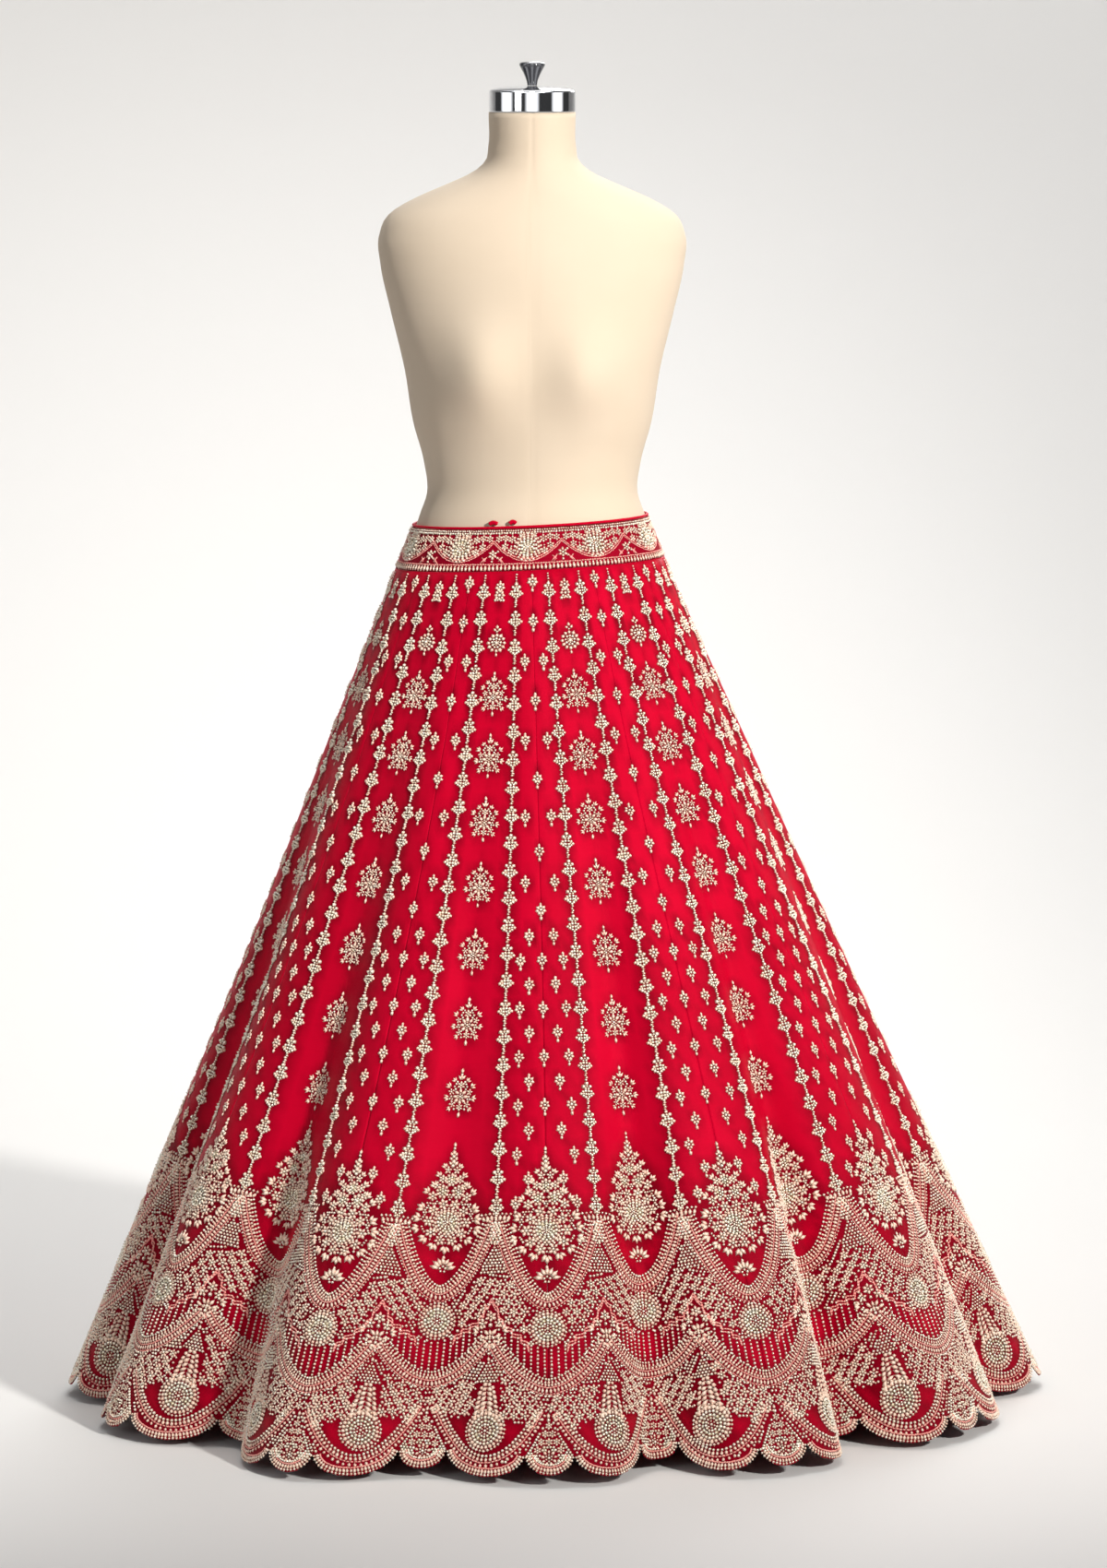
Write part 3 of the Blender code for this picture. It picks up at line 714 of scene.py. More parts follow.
def makeBand():
    rows = np.linspace(0.0, band["height"], band["rows"] + 1)
    half = bandSurface["length"] / 2
    places = np.linspace(-half, half, band["columns"] + 1)[:-1]
    grid, slants = np.meshgrid(places, rows)
    points, normals = (readSurface(bandSurface, name, grid, slants) for name in ("points", "normals"))
    edge = np.minimum(slants, band["height"] - slants)
    points = points - normals * (band["foldTuck"] * np.exp(-(edge / band["foldWidth"])**2))[..., None]
    verts, faces = wrapGrid(points, points - normals * band["thickness"], True)
    uv = np.stack((grid, -slants), axis=-1).reshape(-1, 2)
    mesh = meshFrom("waistbandCloth", verts, faces, np.concatenate((uv, uv)))
    piece = linkPiece("waistbandCloth", mesh, bandSilkPaintedShade, "waistband")


makeBand()


def makeCord(name, path, radius, closed, replaced, sides=12):
    # A round cord along a path, with domed ends when it is open
    ahead = np.roll(path, -1, axis=0) - np.roll(path, 1, axis=0) if closed else np.gradient(path, axis=0)
    ahead /= np.linalg.norm(ahead, axis=1, keepdims=True)
    sideways = np.cross(ahead, (0.0, 0.0, 1.0))
    sideways /= np.linalg.norm(sideways, axis=1, keepdims=True)
    upwards = np.cross(sideways, ahead)
    turn = np.linspace(0.0, 2 * math.pi, sides + 1)[:-1]
    radii = np.full(len(path), radius)
    if not closed:
        radii[[0, -1]] = radius * 0.55
    rounds = sideways[:, None] * np.cos(turn)[None, :, None] + upwards[:, None] * np.sin(turn)[None, :, None]
    points = path[:, None] + rounds * radii[:, None, None]
    index = np.arange(len(path) * sides).reshape(len(path), sides)
    quads = gridQuads(np.concatenate((index, index[:1])) if closed else index, True)
    ends = [] if closed else [tuple(index[0]), tuple(index[-1][::-1])]
    uv = np.stack((np.repeat(runAlong(path), sides), np.tile(turn * radius, len(path))), axis=-1)
    mesh = meshFrom(name, points.reshape(-1, 3), [tuple(quad) for quad in quads] + ends, uv)
    fixOutward(mesh)
    linkPiece(name, mesh, silk, replaced)


def makeTrims():
    angles = np.linspace(0.0, 2 * math.pi, 193)[:-1]
    gap, radius = skirt["seamGap"], band["pipingRadius"]
    rise = band["height"] + gap + radius
    path = bandPoint(angles, np.full_like(angles, rise), 2 * gap + radius)
    makeCord("pipingCord", path, radius, True, "waistband_piping")
    radius = band["cordRadius"]
    seat = band["height"] + 2 * band["pipingRadius"] + 2 * gap + radius
    for name, replaced, first, last, loop in band["drawstring"]:
        t = np.linspace(0.0, 1.0, 21)
        x = first + (last - first) * t
        angle = np.arcsin(x / readLine(formSections, 1, skirt["seamZ"] + seat))
        path = bandPoint(angle, seat + loop * np.sin(math.pi * t), 2 * gap + radius)
        makeCord(name, path, radius, False, replaced)


makeTrims()
print("band and trims made")


def makeForm():
    low, high = formSections[0][0], formSections[-1][0]
    heights = np.linspace(low, high, int((high - low) / form["rowStep"]) + 1)
    angles = np.linspace(0.0, 2 * math.pi, form["sides"] + 1)[:-1]
    angleGrid, heightGrid = np.meshgrid(angles, heights[::-1])
    tucks = (form["tuckFrom"], form["tuckTo"])
    begins, ends = (smoothStep((heightGrid - start) / span) for start, span in tucks)
    out = -form["tuckUnderSkirt"] * begins * (1 - ends)
    for seam in form["seams"]:
        gap = np.angle(np.exp(1j * (angleGrid - seam))) * readCurve(formSections, 1, heightGrid)
        out = out - form["seamDepth"] * np.exp(-(gap / form["seamWidth"])**2)
    for angle, height, depth in form["neckWrinkles"]:
        gap = np.angle(np.exp(1j * (angleGrid - angle)))
        line = heightGrid - height - form["wrinkleSag"] * gap**2
        crease = np.exp(-(line / form["wrinkleHeight"])**2) * np.exp(-(gap / form["wrinkleReach"])**2)
        out = out - depth * crease
    points = formPoint(angleGrid, heightGrid, out).reshape(-1, 3)
    uv = np.stack((angleGrid * form["meanRadius"], heightGrid), axis=-1).reshape(-1, 2)
    makeStack("formCover", points, angleGrid.shape, uv, "form_torso")
    # The plate that closes the form below, with its corners eased
    tall, ease = form["plateHeight"], form["plateRound"]
    bottom = low - skirt["seamGap"] - tall
    outline = formPoint(angles, np.full_like(angles, low))
    levels = []
    for rise, inset in ((tall, ease), (tall - ease, 0.0), (ease, 0.0), (0.0, ease)):
        shrink = 1 - inset / form["meanRadius"]
        levels.append(outline * (shrink, shrink, 0) + (0, 0, bottom + rise))
    points = np.concatenate(levels)
    makeStack("formPlate", points, (len(levels), len(angles)), points[:, :2], "form_plate")


def makeStack(name, points, shape, uv, replaced):
    # A closed solid from level rings of points, from its top down
    index = np.arange(shape[0] * shape[1]).reshape(shape)
    ends = [tuple(index[0]), tuple(index[-1][::-1])]
    mesh = meshFrom(name, points, [tuple(quad) for quad in gridQuads(index, True)] + ends, uv)
    fixOutward(mesh)
    linkPiece(name, mesh, cotton, replaced)


makeForm()


def makeTurned(name, profile, bottom, material, replaced, sides=96):
    # A turned solid from (radius, height) pairs from its top centre down its outer side
    turn = np.linspace(0.0, 2 * math.pi, sides + 1)[:-1]
    centres = [(0.0, 0.0, bottom + profile[0][1]), (0.0, 0.0, bottom + profile[-1][1])]
    rounds = [(radius * math.cos(a), radius * math.sin(a), bottom + height)
              for radius, height in profile[1:-1] for a in turn]
    index = 2 + np.arange(len(rounds)).reshape(-1, sides)
    top, foot = index[0], index[-1]
    faces = [(0, here, there) for here, there in zip(top, np.roll(top, -1))]
    faces += [tuple(quad) for quad in gridQuads(index, True)]
    faces += [(here, 1, there) for here, there in zip(foot, np.roll(foot, -1))]
    mesh = meshFrom(name, centres + rounds, faces)
    fixOutward(mesh)
    linkPiece(name, mesh, material, replaced)
    mesh.set_sharp_from_angle(angle=math.radians(40))


def roundedCorner(radius, height, size, steps=5):
    # Quarter round at the top of a side: from the flat top out to the side
    angles = np.linspace(0.0, math.pi / 2, steps + 1)
    return [(radius - size + size * math.sin(a), height - size + size * math.cos(a)) for a in angles]


stand = {
    "baseRadius": 0.180,
    "baseHeight": 0.012,
    "baseRound": 0.003,
    "footBevel": 0.001,
    "hubRadius": 0.026,
    "hubHeight": 0.034,
    "hubRound": 0.004,
    "poleRadius": 0.016,
    "poleStep": 0.001,      # the inner tube is that much thinner, and its collar stands out
    "collarShare": 0.55,
    "collarHeight": 0.03,
    "capRadius": 0.0496,
    "capHeight": 0.025,
    "domeHeight": 0.006,
    "capLip": 0.001,
    "knobTop": 0.015,
    "knobNeck": 0.0058,
    "knobHeight": 0.027,
    # how far the knob's rim is inside its top radius, and below its top
    "knobRim": [(0.0042, 0.0002), (0.0022, 0.0007), (0.0009, 0.0016), (0.0002, 0.0029), (0.0002, 0.0040),
                (0.0012, 0.0062)],
    "knobFoot": 0.0022,
    "knobFlare": 1.35,
}


def makeStand():
    gap = skirt["seamGap"]
    base, height, bevel = stand["baseRadius"], stand["baseHeight"], stand["footBevel"]
    profile = [(0.0, height)] + roundedCorner(base, height, stand["baseRound"])
    profile += [(base, bevel), (base - bevel, 0.0), (0.0, 0.0)]
    makeTurned("standBase", profile, 0.0, paintedSteel, "form_base")
    hubBottom = height + gap
    hub, hubHeight = stand["hubRadius"], stand["hubHeight"]
    profile = [(0.0, hubHeight)] + roundedCorner(hub, hubHeight, stand["hubRound"])
    profile += [(hub, 0.006), (hub, 0.0), (0.0, 0.0)]
    makeTurned("standHub", profile, hubBottom, paintedSteel, "form_hub", 64)
    poleBottom = hubBottom + hubHeight + gap
    length = formSections[0][0] - gap - form["plateHeight"] - gap - poleBottom
    pole, step = stand["poleRadius"], stand["poleStep"]
    collar, collarFoot = length * stand["collarShare"], length * stand["collarShare"] - stand["collarHeight"]
    profile = [(0.0, length), (pole - step, length), (pole - 1.5 * step, length - step),
               (pole - 1.5 * step, collar + 2 * step), (pole, collar), (pole, collarFoot),
               (pole - step, collarFoot - 2 * step), (pole - step, 0.0), (0.0, 0.0)]
    makeTurned("standPole", profile, poleBottom, chrome, "form_pole", 64)
    capBottom = formSections[-1][0] + gap
    cap, capHeight, dome, lip = (stand[name] for name in ("capRadius", "capHeight", "domeHeight", "capLip"))
    angles = np.linspace(0.0, 0.5 * math.pi, 14)
    profile = [((cap - 0.8 * lip) * math.sin(a), capHeight - lip + dome * math.cos(a)) for a in angles]
    profile += [(cap, capHeight - 1.8 * lip), (cap, capHeight - 2.8 * lip)]
    profile += [(cap, 2.2 * lip), (cap, 1.2 * lip),
                (cap - 0.8 * lip, 0.0), (0.0, 0.0)]
    makeTurned("neckCapShell", profile, capBottom, chrome, "neck_cap", 128)
    knobBottom = capBottom + capHeight - lip + dome + gap
    top, neck, tall, foot = (stand[name] for name in ("knobTop", "knobNeck", "knobHeight", "knobFoot"))
    rimIn, rimDown = stand["knobRim"][-1]
    profile = [(0.0, tall)] + [(top - inset, tall - down) for inset, down in stand["knobRim"]]
    profile += [(neck + (top - rimIn - neck) * (1 - t)**stand["knobFlare"],
                 foot + (tall - rimDown - foot) * (1 - t)) for t in np.linspace(0.12, 1.0, 8)]
    profile += [(neck - 0.0002, 0.0), (0.0, 0.0)]
    makeTurned("neckKnobTurned", profile, knobBottom, darkKnob, "neck_knob", 64)


makeStand()
print("form and stand made")


# Embroidery. A motif is a list of (kind, x, y, turn, length, width) in mm and radians, with
# x round the skirt, y up and turn anticlockwise. Each element's long axis is y at turn 0

needlework = {
    "lift": 0.25,           # mm above the worked-out cloth
    "shake": 0.12,          # uneven places of hand sewing, mm
    "lean": 0.10,           # and uneven turns
    "uneven": 0.12,         # and sizes, in the geometry nodes
    "seed": 21,
    "rowShare": 0.87,       # height of a row of beads or flowers for their pitch
    "most": 190000,         # most triangles in one piece; more are split over further pieces; triangles allowed a piece
    # kind: height for its width, triangles reckoned for each, finish
    "elements": {
        "seed": (0.55, 8, "paleBead"),
        "pearl": (0.62, 22, "champagneBead"),
        "petal": (0.42, 12, "creamThread"),
        "bugle": (0.60, 8, "salmonThread"),
        "sequin": (0.22, 10, "goldSequin"),
    },
}

shakes = np.random.default_rng(needlework["seed"])


def beads(kind, *spots):
    # Each spot is x, y and size, or x, y, length and width
    return [(kind, x, y, 0.0, size[0], size[-1]) for x, y, *size in spots]


def petals(*spots):
    return [("petal", *spot) for spot in spots]


def ring(kind, count, radius, length, width, x=0.0, y=0.0, start=0.0):
    angles = [start + 2 * math.pi * i / count for i in range(count)]
    return [(kind, x + radius * math.sin(a), y + radius * math.cos(a), -a, length, width) for a in angles]


def floret(x, y, size, count=5, turn=0.0):
    petal = size * 0.42
    made = ring("petal", count, size * 0.31, petal, petal * 0.72, x, y, turn)
    return made + beads("pearl", (x, y, size * 0.30))


def bud(x, y, size, turn=0.0):
    # Three petals fanned out from a foot
    made = []
    for lean, reach in ((-0.62, 0.36), (0.0, 0.44), (0.62, 0.36)):
        angle = turn + lean
        made += petals((x - reach * size * math.sin(angle), y + reach * size * math.cos(angle),
                        angle, size * 0.62, size * 0.34))
    return made


def moved(motif, x, y):
    return [(kind, x + mx, y + my, turn, length, width) for kind, mx, my, turn, length, width in motif]


def mirrored(motif):
    return motif + [(kind, -x, y, -turn, length, width) for kind, x, y, turn, length, width in motif]


def filled(motif, inside, pitch, size, kind="seed"):
    # Beads in the gaps that a motif leaves inside an outline
    taken = np.array([(x, y, max(length, width)) for _, x, y, _, length, width in motif])
    reach = pitch * math.ceil(np.abs(taken[:, :2]).max() / pitch + 1)
    spots = []
    for row, y in enumerate(np.arange(-reach, reach, pitch * needlework["rowShare"])):
        for x in np.arange(-reach, reach, pitch) + (row % 2) * pitch / 2:
            gap = np.hypot(taken[:, 0] - x, taken[:, 1] - y) - taken[:, 2] * 0.38
            if inside(x, y) and gap.min() > size * 0.42:
                spots.append((x, y, size))
    return motif + beads(kind, *spots)


def chainCluster():
    # A trefoil over a wide pointed lozenge, and the beads that join it to the next one
    half = petals((7.0, -0.9, 1.2, 4.6, 4.0))
    half += beads("pearl", (5.0, 1.6, 4.2), (4.6, -3.0, 4.2), (1.9, 2.2, 4.2), (2.0, -4.7, 4.0),
                  (1.6, -1.4, 3.8), (3.9, 7.2, 5.0))
    half += beads("seed", (4.0, -0.8, 3.4), (1.8, 5.0, 3.8))
    made = mirrored(half) + beads("pearl", (0, 10.6, 5.0, 5.2), (0, -6.9, 3.8))
    made += beads("seed", (0, 7.4, 3.8))
    return made + beads("seed", *[(0.4 * (-1)**i, -9.5 - 2.5 * i, 3.6, 4.4) for i in range(4)])


def buti():
    # A tight little flower head with a point and a stem
    made = ring("petal", 7, 3.9, 4.6, 3.9, 0, 2.4) + beads("pearl", (0, 2.4, 3.8))
    return made + petals((0, 8.8, 0, 4.2, 3.6), (0, -6.8, 0, 5.6, 3.8)) + beads("seed", (0, -3.6, 3.2, 3.4))


def doubleBud():
    made = ring("petal", 7, 4.0, 4.6, 4.0, 0, 5.4) + beads("pearl", (0, 5.4, 4.4))
    made += beads("seed", (0, 11.4, 3.4, 3.6))
    made += ring("petal", 8, 4.4, 4.4, 3.8, 0, -4.2) + beads("pearl", (0, -4.2, 5.0))
    return made + mirrored(beads("pearl", (4.6, -10.0, 4.0)) + beads("seed", (1.8, -9.8, 3.4, 3.6)))


def roundFlower():
    made = ring("petal", 12, 9.3, 5.4, 4.8) + ring("pearl", 9, 5.2, 3.7, 3.7) + beads("pearl", (0, 0, 5.4))
    made += ring("seed", 6, 2.6, 2.6, 2.6) + mirrored(petals((3.0, 15.6, -0.9, 4.8, 3.8)))
    made += petals((0, 18.6, 0, 5.0, 4.0), (0, -13.8, 0, 5.4, 3.6))
    return made + beads("seed", (0, 13.2, 3.6, 3.8))


def bouquet():
    # A round flower with florets at its foot and leaves spreading to a pointed bud
    outline = np.array([(-24.0, 1.2), (-19.0, 3.6), (-16.0, 8.4), (-9.0, 14.0), (-3.0, 13.4), (4.0, 12.6),
                        (9.0, 9.6), (14.0, 6.0), (20.0, 3.0), (24.5, 1.4)])
    made = ring("petal", 8, 6.2, 6.4, 4.6, 0, -3.4) + ring("seed", 6, 2.7, 2.8, 2.8, 0, -3.4)
    made += beads("pearl", (0, -3.4, 3.4)) + floret(0, 8.6, 9.6, 6) + bud(0, 14.0, 10.0)
    made += floret(0, -14.4, 8.6, 6) + beads("pearl", (0, 20.2, 3.6))
    made += petals((0, 24.0, 0, 5.6, 4.0), (0, -22.6, 0, 6.4, 3.8))
    made += mirrored(floret(8.4, -11.6, 8.4, 5, 0.3) + floret(10.6, 1.4, 7.8, 5, 0.2)
                     + bud(13.2, -5.0, 8.6, -1.7) + bud(12.0, 6.2, 8.6, -0.95) + bud(6.8, 12.0, 7.4, -0.6)
                     + bud(9.8, -15.2, 7.4, -2.2))

    def inside(x, y):
        return abs(x) < np.interp(y, outline[:, 0], outline[:, 1]) - 1.2

    return filled(made, inside, 3.0, 3.0, "pearl")


def rosette(radius):
    # Rings of beads round a sequin heart, with a ring of loops at the edge
    around = 2 * math.pi * radius
    made = beads("pearl", (0, 0, 4.0)) + ring("seed", 6, radius * 0.17, 3.2, 3.2)
    made += ring("pearl", max(7, int(around * 0.30 / 3.4)), radius * 0.30, 3.9, 3.8)
    made += ring("sequin", max(8, int(around * 0.47 / 4.2)), radius * 0.47, 4.8, 4.8)
    made += ring("pearl", int(around * 0.65 / 4.1), radius * 0.65, 4.6, 4.6)
    made += ring("petal", int(around * 0.82 / 4.6), radius * 0.83, radius * 0.26, 5.0)
    return made + ring("seed", int(around * 0.99 / 4.4), radius * 0.99, 4.0, 4.2)


def sequinFlower(radius):
    made = ring("petal", 9, radius * 0.74, radius * 0.56, radius * 0.50)
    return made + ring("sequin", 6, radius * 0.38, 3.8, 3.8) + beads("pearl", (0, 0, 4.2))


def largeMedallion():
    # A round flower ringed by florets and buds, three sequin flowers above it, then a spike
    made = rosette(17.0)
    for index in range(10):
        angle = 2 * math.pi * (index + 0.5) / 10
        made += floret(22.6 * math.sin(angle), 22.6 * math.cos(angle), 14.0, 6, turn=angle)
    for index in range(15):
        angle = 2 * math.pi * (index + 0.5) / 15
        if abs(math.remainder(angle, 2 * math.pi)) > 0.75:
            stretch = 1.0 + 0.17 * abs(math.sin(angle)) - 0.06 * (index % 2)
            made += bud(29.0 * stretch * math.sin(angle), 27.5 * math.cos(angle), 15.0, -angle)
    made += mirrored(moved(sequinFlower(9.0), 9.6, 36.5) + floret(21.0, 30.0, 13.0, 6)
                     + bud(26.0, 34.0, 12.0, -0.9) + bud(19.0, 41.5, 12.0, -0.7) + floret(17.0, 43.5, 10.5))
    made += moved(sequinFlower(8.6), 0, 51.0)
    made += mirrored(floret(10.8, 51.5, 11.6, 6) + bud(14.6, 54.0, 10.5, -0.6) + floret(5.4, 62.6, 10.4)
                     + bud(8.8, 65.0, 9.5, -0.5))
    made += beads("pearl", (0, 68.0, 5.4), (0, 79.0, 5.2), (0, 89.2, 4.2))
    made += petals((0, 73.4, 0, 7.4, 6.0), (0, 84.2, 0, 6.8, 5.0), (0, 93.6, 0, 6.0, 3.8))
    made += mirrored(petals((3.8, 71.0, -0.6, 6.4, 4.6), (3.4, 76.6, -0.5, 5.4, 4.0),
                            (3.0, 82.0, -0.5, 4.8, 3.6)))

    def inside(x, y):
        return (x / 31)**2 + (y / 30)**2 < 1 or (0 < y < 72 and abs(x) < 26 * (1 - (y - 24) / 62))

    made = filled(made, inside, 3.3, 3.7)
    # A small open lotus hangs below
    made += petals(*[(9.5 * math.sin(angle), 9.5 * math.cos(angle) - 56.0, -angle, 11.0, 5.4)
                     for angle in np.linspace(-1.35, 1.35, 7)])
    return made + ring("pearl", 5, 3.2, 3.6, 3.6, 0, -56.0) + petals((0, -42.0, 0, 5.0, 3.8))


def pearlPeak(rows, pitch):
    # A point of closely sewn pearls, widening downwards from y = 0
    made = petals((0, 4.4, 0, 6.0, 4.0))
    for row in range(rows):
        count = int(1.5 + row * 0.92)
        for index in range(count):
            spot = ((index - (count - 1) / 2) * pitch, -row * pitch * 0.88, pitch * 0.94)
            made += beads("pearl" if (row + index) % 3 else "seed", spot)
    return made


def sprig():
    made = floret(0, 12.5, 13.0, 6) + mirrored(floret(9.6, 4.6, 12.0) + bud(13.4, -3.4, 12.5, -1.2))
    made += mirrored(petals((4.8, -5.2, -0.7, 9.4, 5.0), (9.4, -10.0, -1.2, 8.6, 4.6))
                     + beads("seed", (5.0, 10.4, 3.6), (3.2, -10.5, 3.6)))
    made += beads("pearl", (0, 3.0, 5.0)) + beads("seed", (0, -12.5, 3.6))
    return made + petals((0, -5.0, 0, 8.0, 4.2))


def feather(rows, pitch, narrow, wide):
    # Chevrons of long stitches that widen downwards from y = 0
    made = []
    for row in range(rows):
        reach = narrow + (wide - narrow) * (row / (rows - 1))**0.8
        y = -row * pitch
        made += mirrored(petals((reach * 0.27, y, 1.0, reach * 0.66, 5.2),
                                (reach * 0.74, y - 3.8, 0.84, reach * 0.58, 5.0)))
    return made


def fanFill():
    # A bead-filled cone that narrows to a point above a small half flower
    made = ring("petal", 9, 7.0, 5.0, 3.8, 0, -3.0) + ring("seed", 6, 3.4, 3.2, 3.2, 0, -3.0)
    made += beads("pearl", (0, -3, 4.4)) + petals((0, 44.5, 0, 6.6, 4.4)) + beads("pearl", (0, 39.5, 4.8))
    for y, x in ((33.0, 0.0), (24.0, 4.0), (15.0, 8.6), (15.0, 0.0), (6.0, 13.0)):
        made += mirrored(floret(x, y, 9.4, 6)) if x else floret(x, y, 9.4, 6)

    def inside(x, y):
        return -8 < y < 38 and abs(x) < (25.0 - 0.58 * y if y > 0 else math.sqrt(625 - 5.2 * y * y))

    return filled(made, inside, 3.5, 3.8, "pearl")


def groundFlower(size, count, turn):
    # A floret with two beads that fill the gaps in its row
    side, rise = size * 0.5, size * 0.32
    made = floret(0, 0, size, count, turn)
    return made + beads("pearl", (side, rise, 3.4)) + beads("seed", (side, -rise, 3.4))


def newBed():
    return {kind: [] for kind in needlework["elements"]}


def sew(bed, kind, place, slant, turn, length, width):
    rows = np.broadcast_arrays(place, slant, turn, length, width)
    bed[kind].append(np.column_stack([np.ravel(row) for row in rows]))


def stamp(bed, surface, motif, places, slants, sizes=1.0, narrow=1.0):
    # narrow under 1 makes a motif slimmer
    places, slants, sizes = (np.ravel(row) for row in np.broadcast_arrays(places, slants, sizes))
    widths = readSurface(surface, "widths", places, slants)[:, 0]
    for kind in bed:
        part = np.array([row[1:] for row in motif if row[0] == kind])
        if not len(part):
            continue
        scale = sizes[:, None]
        across, up = part[:, 0] * mm * narrow * scale, part[:, 1] * mm * scale
        sew(bed, kind, places[:, None] + across / widths[:, None], slants[:, None] - up,
            part[:, 2] + 0 * scale, part[:, 3] * scale, part[:, 4] * scale * narrow)


def followLine(bed, surface, place, slant, rows):
    # Rows of elements beside a line that runs towards +place; offset is to its upper side and
    # turn is from the line's normal: (kind, offset mm, pitch mm, length, width, turn)
    widths = readSurface(surface, "widths", place, slant)[:, 0]
    x = addUp(np.diff(place) * (widths[1:] + widths[:-1]) / 2)
    y = -slant
    run = addUp(np.hypot(np.diff(x), np.diff(y)))
    slope = np.unwrap(np.arctan2(np.gradient(y, run), np.gradient(x, run)))
    for kind, offset, pitch, length, width, turn in rows:
        count = max(2, int(round(run[-1] / (pitch * mm))))
        way = (np.arange(count) + 0.5) / count * run[-1]
        angle = np.interp(way, run, slope)
        sideways, upwards = -offset * mm * np.sin(angle), offset * mm * np.cos(angle)
        here = np.interp(way, run, place) + sideways / np.interp(way, run, widths)
        sew(bed, kind, here, np.interp(way, run, slant) - upwards, angle + turn, length, width)


def unitWidth(unit, above):
    # Half a festoon's width in mm, that far above the notches
    place = np.array([unit / 2])
    widths = readSurface(skirtSurface, "widths", place, notchSlant(place) - above * mm)
    return float(widths[0, 0]) * unitHalf / mm


def fillGround(bed, motifs, pitch, low, high, inside):
    # Rows of small flowers over the ground between the festoons, where inside(x, y, half)
    # is true; x is in mm from the festoon's middle and half is half its width
    places, above = [], []
    for unit in range(units):
        half = unitWidth(unit, (low + high) / 2)
        count = int(2 * half / pitch)
        for row, y in enumerate(np.arange(low, high, pitch * needlework["rowShare"])):
            for column in range(count):
                x = ((column + 0.5 * (row % 2) + 0.25) / count * 2 - 1) * half
                if inside(x, y, half):
                    places.append(unit / 2 + x / half * unitHalf)
                    above.append(y)
    places, above = np.array(places), np.array(above)
    for index, motif in enumerate(motifs):
        sewAt(bed, motif, places[index::len(motifs)], above[index::len(motifs)])


def fillGaps(bed, low, high, inside, pitch=4.3, clear=1.7, size=3.7, margin=8):
    # Beads wherever the sewing so far leaves more than clear mm bare, where inside is true
    sewn = np.concatenate([rows for kind in bed for rows in bed[kind]])
    sewnAbove = (notchSlant(sewn[:, 0]) - sewn[:, 1]) / mm
    kalis = skirt["kalis"]
    for unit in range(units):
        half = unitWidth(unit, (low + high) / 2)
        x = ((sewn[:, 0] - unit / 2 + kalis / 2) % kalis - kalis / 2) / unitHalf * half
        near = (np.abs(x) < half + margin) & (sewnAbove > low - margin) & (sewnAbove < high + margin)
        x, above, reach = x[near], sewnAbove[near], np.maximum(sewn[near, 3], sewn[near, 4]) * 0.40
        for row, y in enumerate(np.arange(low, high, pitch * needlework["rowShare"])):
            for spot in np.arange(-half, half, pitch) + (row % 2) * pitch / 2:
                if inside(spot, y, half) and (np.hypot(x - spot, above - y) - reach).min() > clear:
                    kind = "pearl" if (row + int(spot)) % 3 else "seed"
                    place = unit / 2 + spot / half * unitHalf
                    slant = float(notchSlant(np.array([place]))[0]) - y * mm
                    sew(bed, kind, place, slant, 0.0, size, size)


units = skirt["kalis"] * 2      # festoons: one at each seam and each kali's middle
unitHalf = 0.25                 # half a festoon, in kalis

border = {
    "upperPeak": 262, "upperFoot": 173, "lowerPeak": 126, "lowerFoot": 76, "bend": 1.8,
    "medallion": 255, "peakPearls": 232, "rosette": 143, "rosetteRadius": 20.5, "threadLine": 147,
    "sprig": 141,
    "pearls": 101, "feather": 77, "drop": 25, "dropRadius": 23, "strings": 16,
    "crescentTip": 31, "crescentHalf": 50, "crescentFoot": -2,   # where the plain crescents end, mm
}

festoonRows = [
    ("pearl", 9.4, 4.9, 3.5, 3.3, 0.0), ("petal", 6.0, 4.9, 5.0, 3.0, 0.0),
    ("petal", 2.8, 4.0, 4.6, 3.4, 0.0),
    ("bugle", 0.2, 3.2, 3.6, 1.5, math.pi / 2), ("petal", -3.6, 3.9, 6.8, 3.5, 0.0),
    ("bugle", -7.4, 3.2, 3.6, 1.4, math.pi / 2), ("seed", -9.4, 3.6, 3.0, 3.0, 0.0),
]


def festoonHeight(t, peak, foot):
    return foot + (peak - foot) * np.abs(t)**border["bend"]


def sewFestoons(bed, peak, foot, rows, reach=0.93):
    # The bands stop a little short of the peak, side by side under its crown
    t = np.linspace(-reach, reach, 81)
    for unit in range(units):
        place = unit / 2 + unitHalf * t
        slant = notchSlant(place) - festoonHeight(t / reach, peak, foot) * mm
        followLine(bed, skirtSurface, place, slant, rows)


def sewAt(bed, motif, places, above, sizes=1.0):
    # Motifs at a height in mm above the line of the hem's notches
    places = np.asarray(places, dtype=float)
    stamp(bed, skirtSurface, motif, places, notchSlant(places) - above * mm, sizes)


centres = np.arange(units) / 2
peaks = centres + unitHalf


def chainSlant(place):
    return notchSlant(place) - (border["upperPeak"] + 16) * mm


# Metres down the cloth from the waist seam, counts, and sizes as shares of the motif's own
upper = {
    "chainFrom": 0.026, "chainPitch": 0.031,
    "doubleBud": 0.024, "roundFlower": 0.083, "roundFlowerSize": 0.98,
    "bouquets": 7, "bouquetFrom": 0.142, "bouquetPitch": 0.0705, "bouquetNarrow": 0.88,
    "butiSize": 1.06, "butiFrom": 0.016, "butiTo": 0.75, "seamButiTo": 0.66, "moreButisFrom": 0.40,
    "butiPitch": 0.0455, "butiCloser": 0.0175,
}


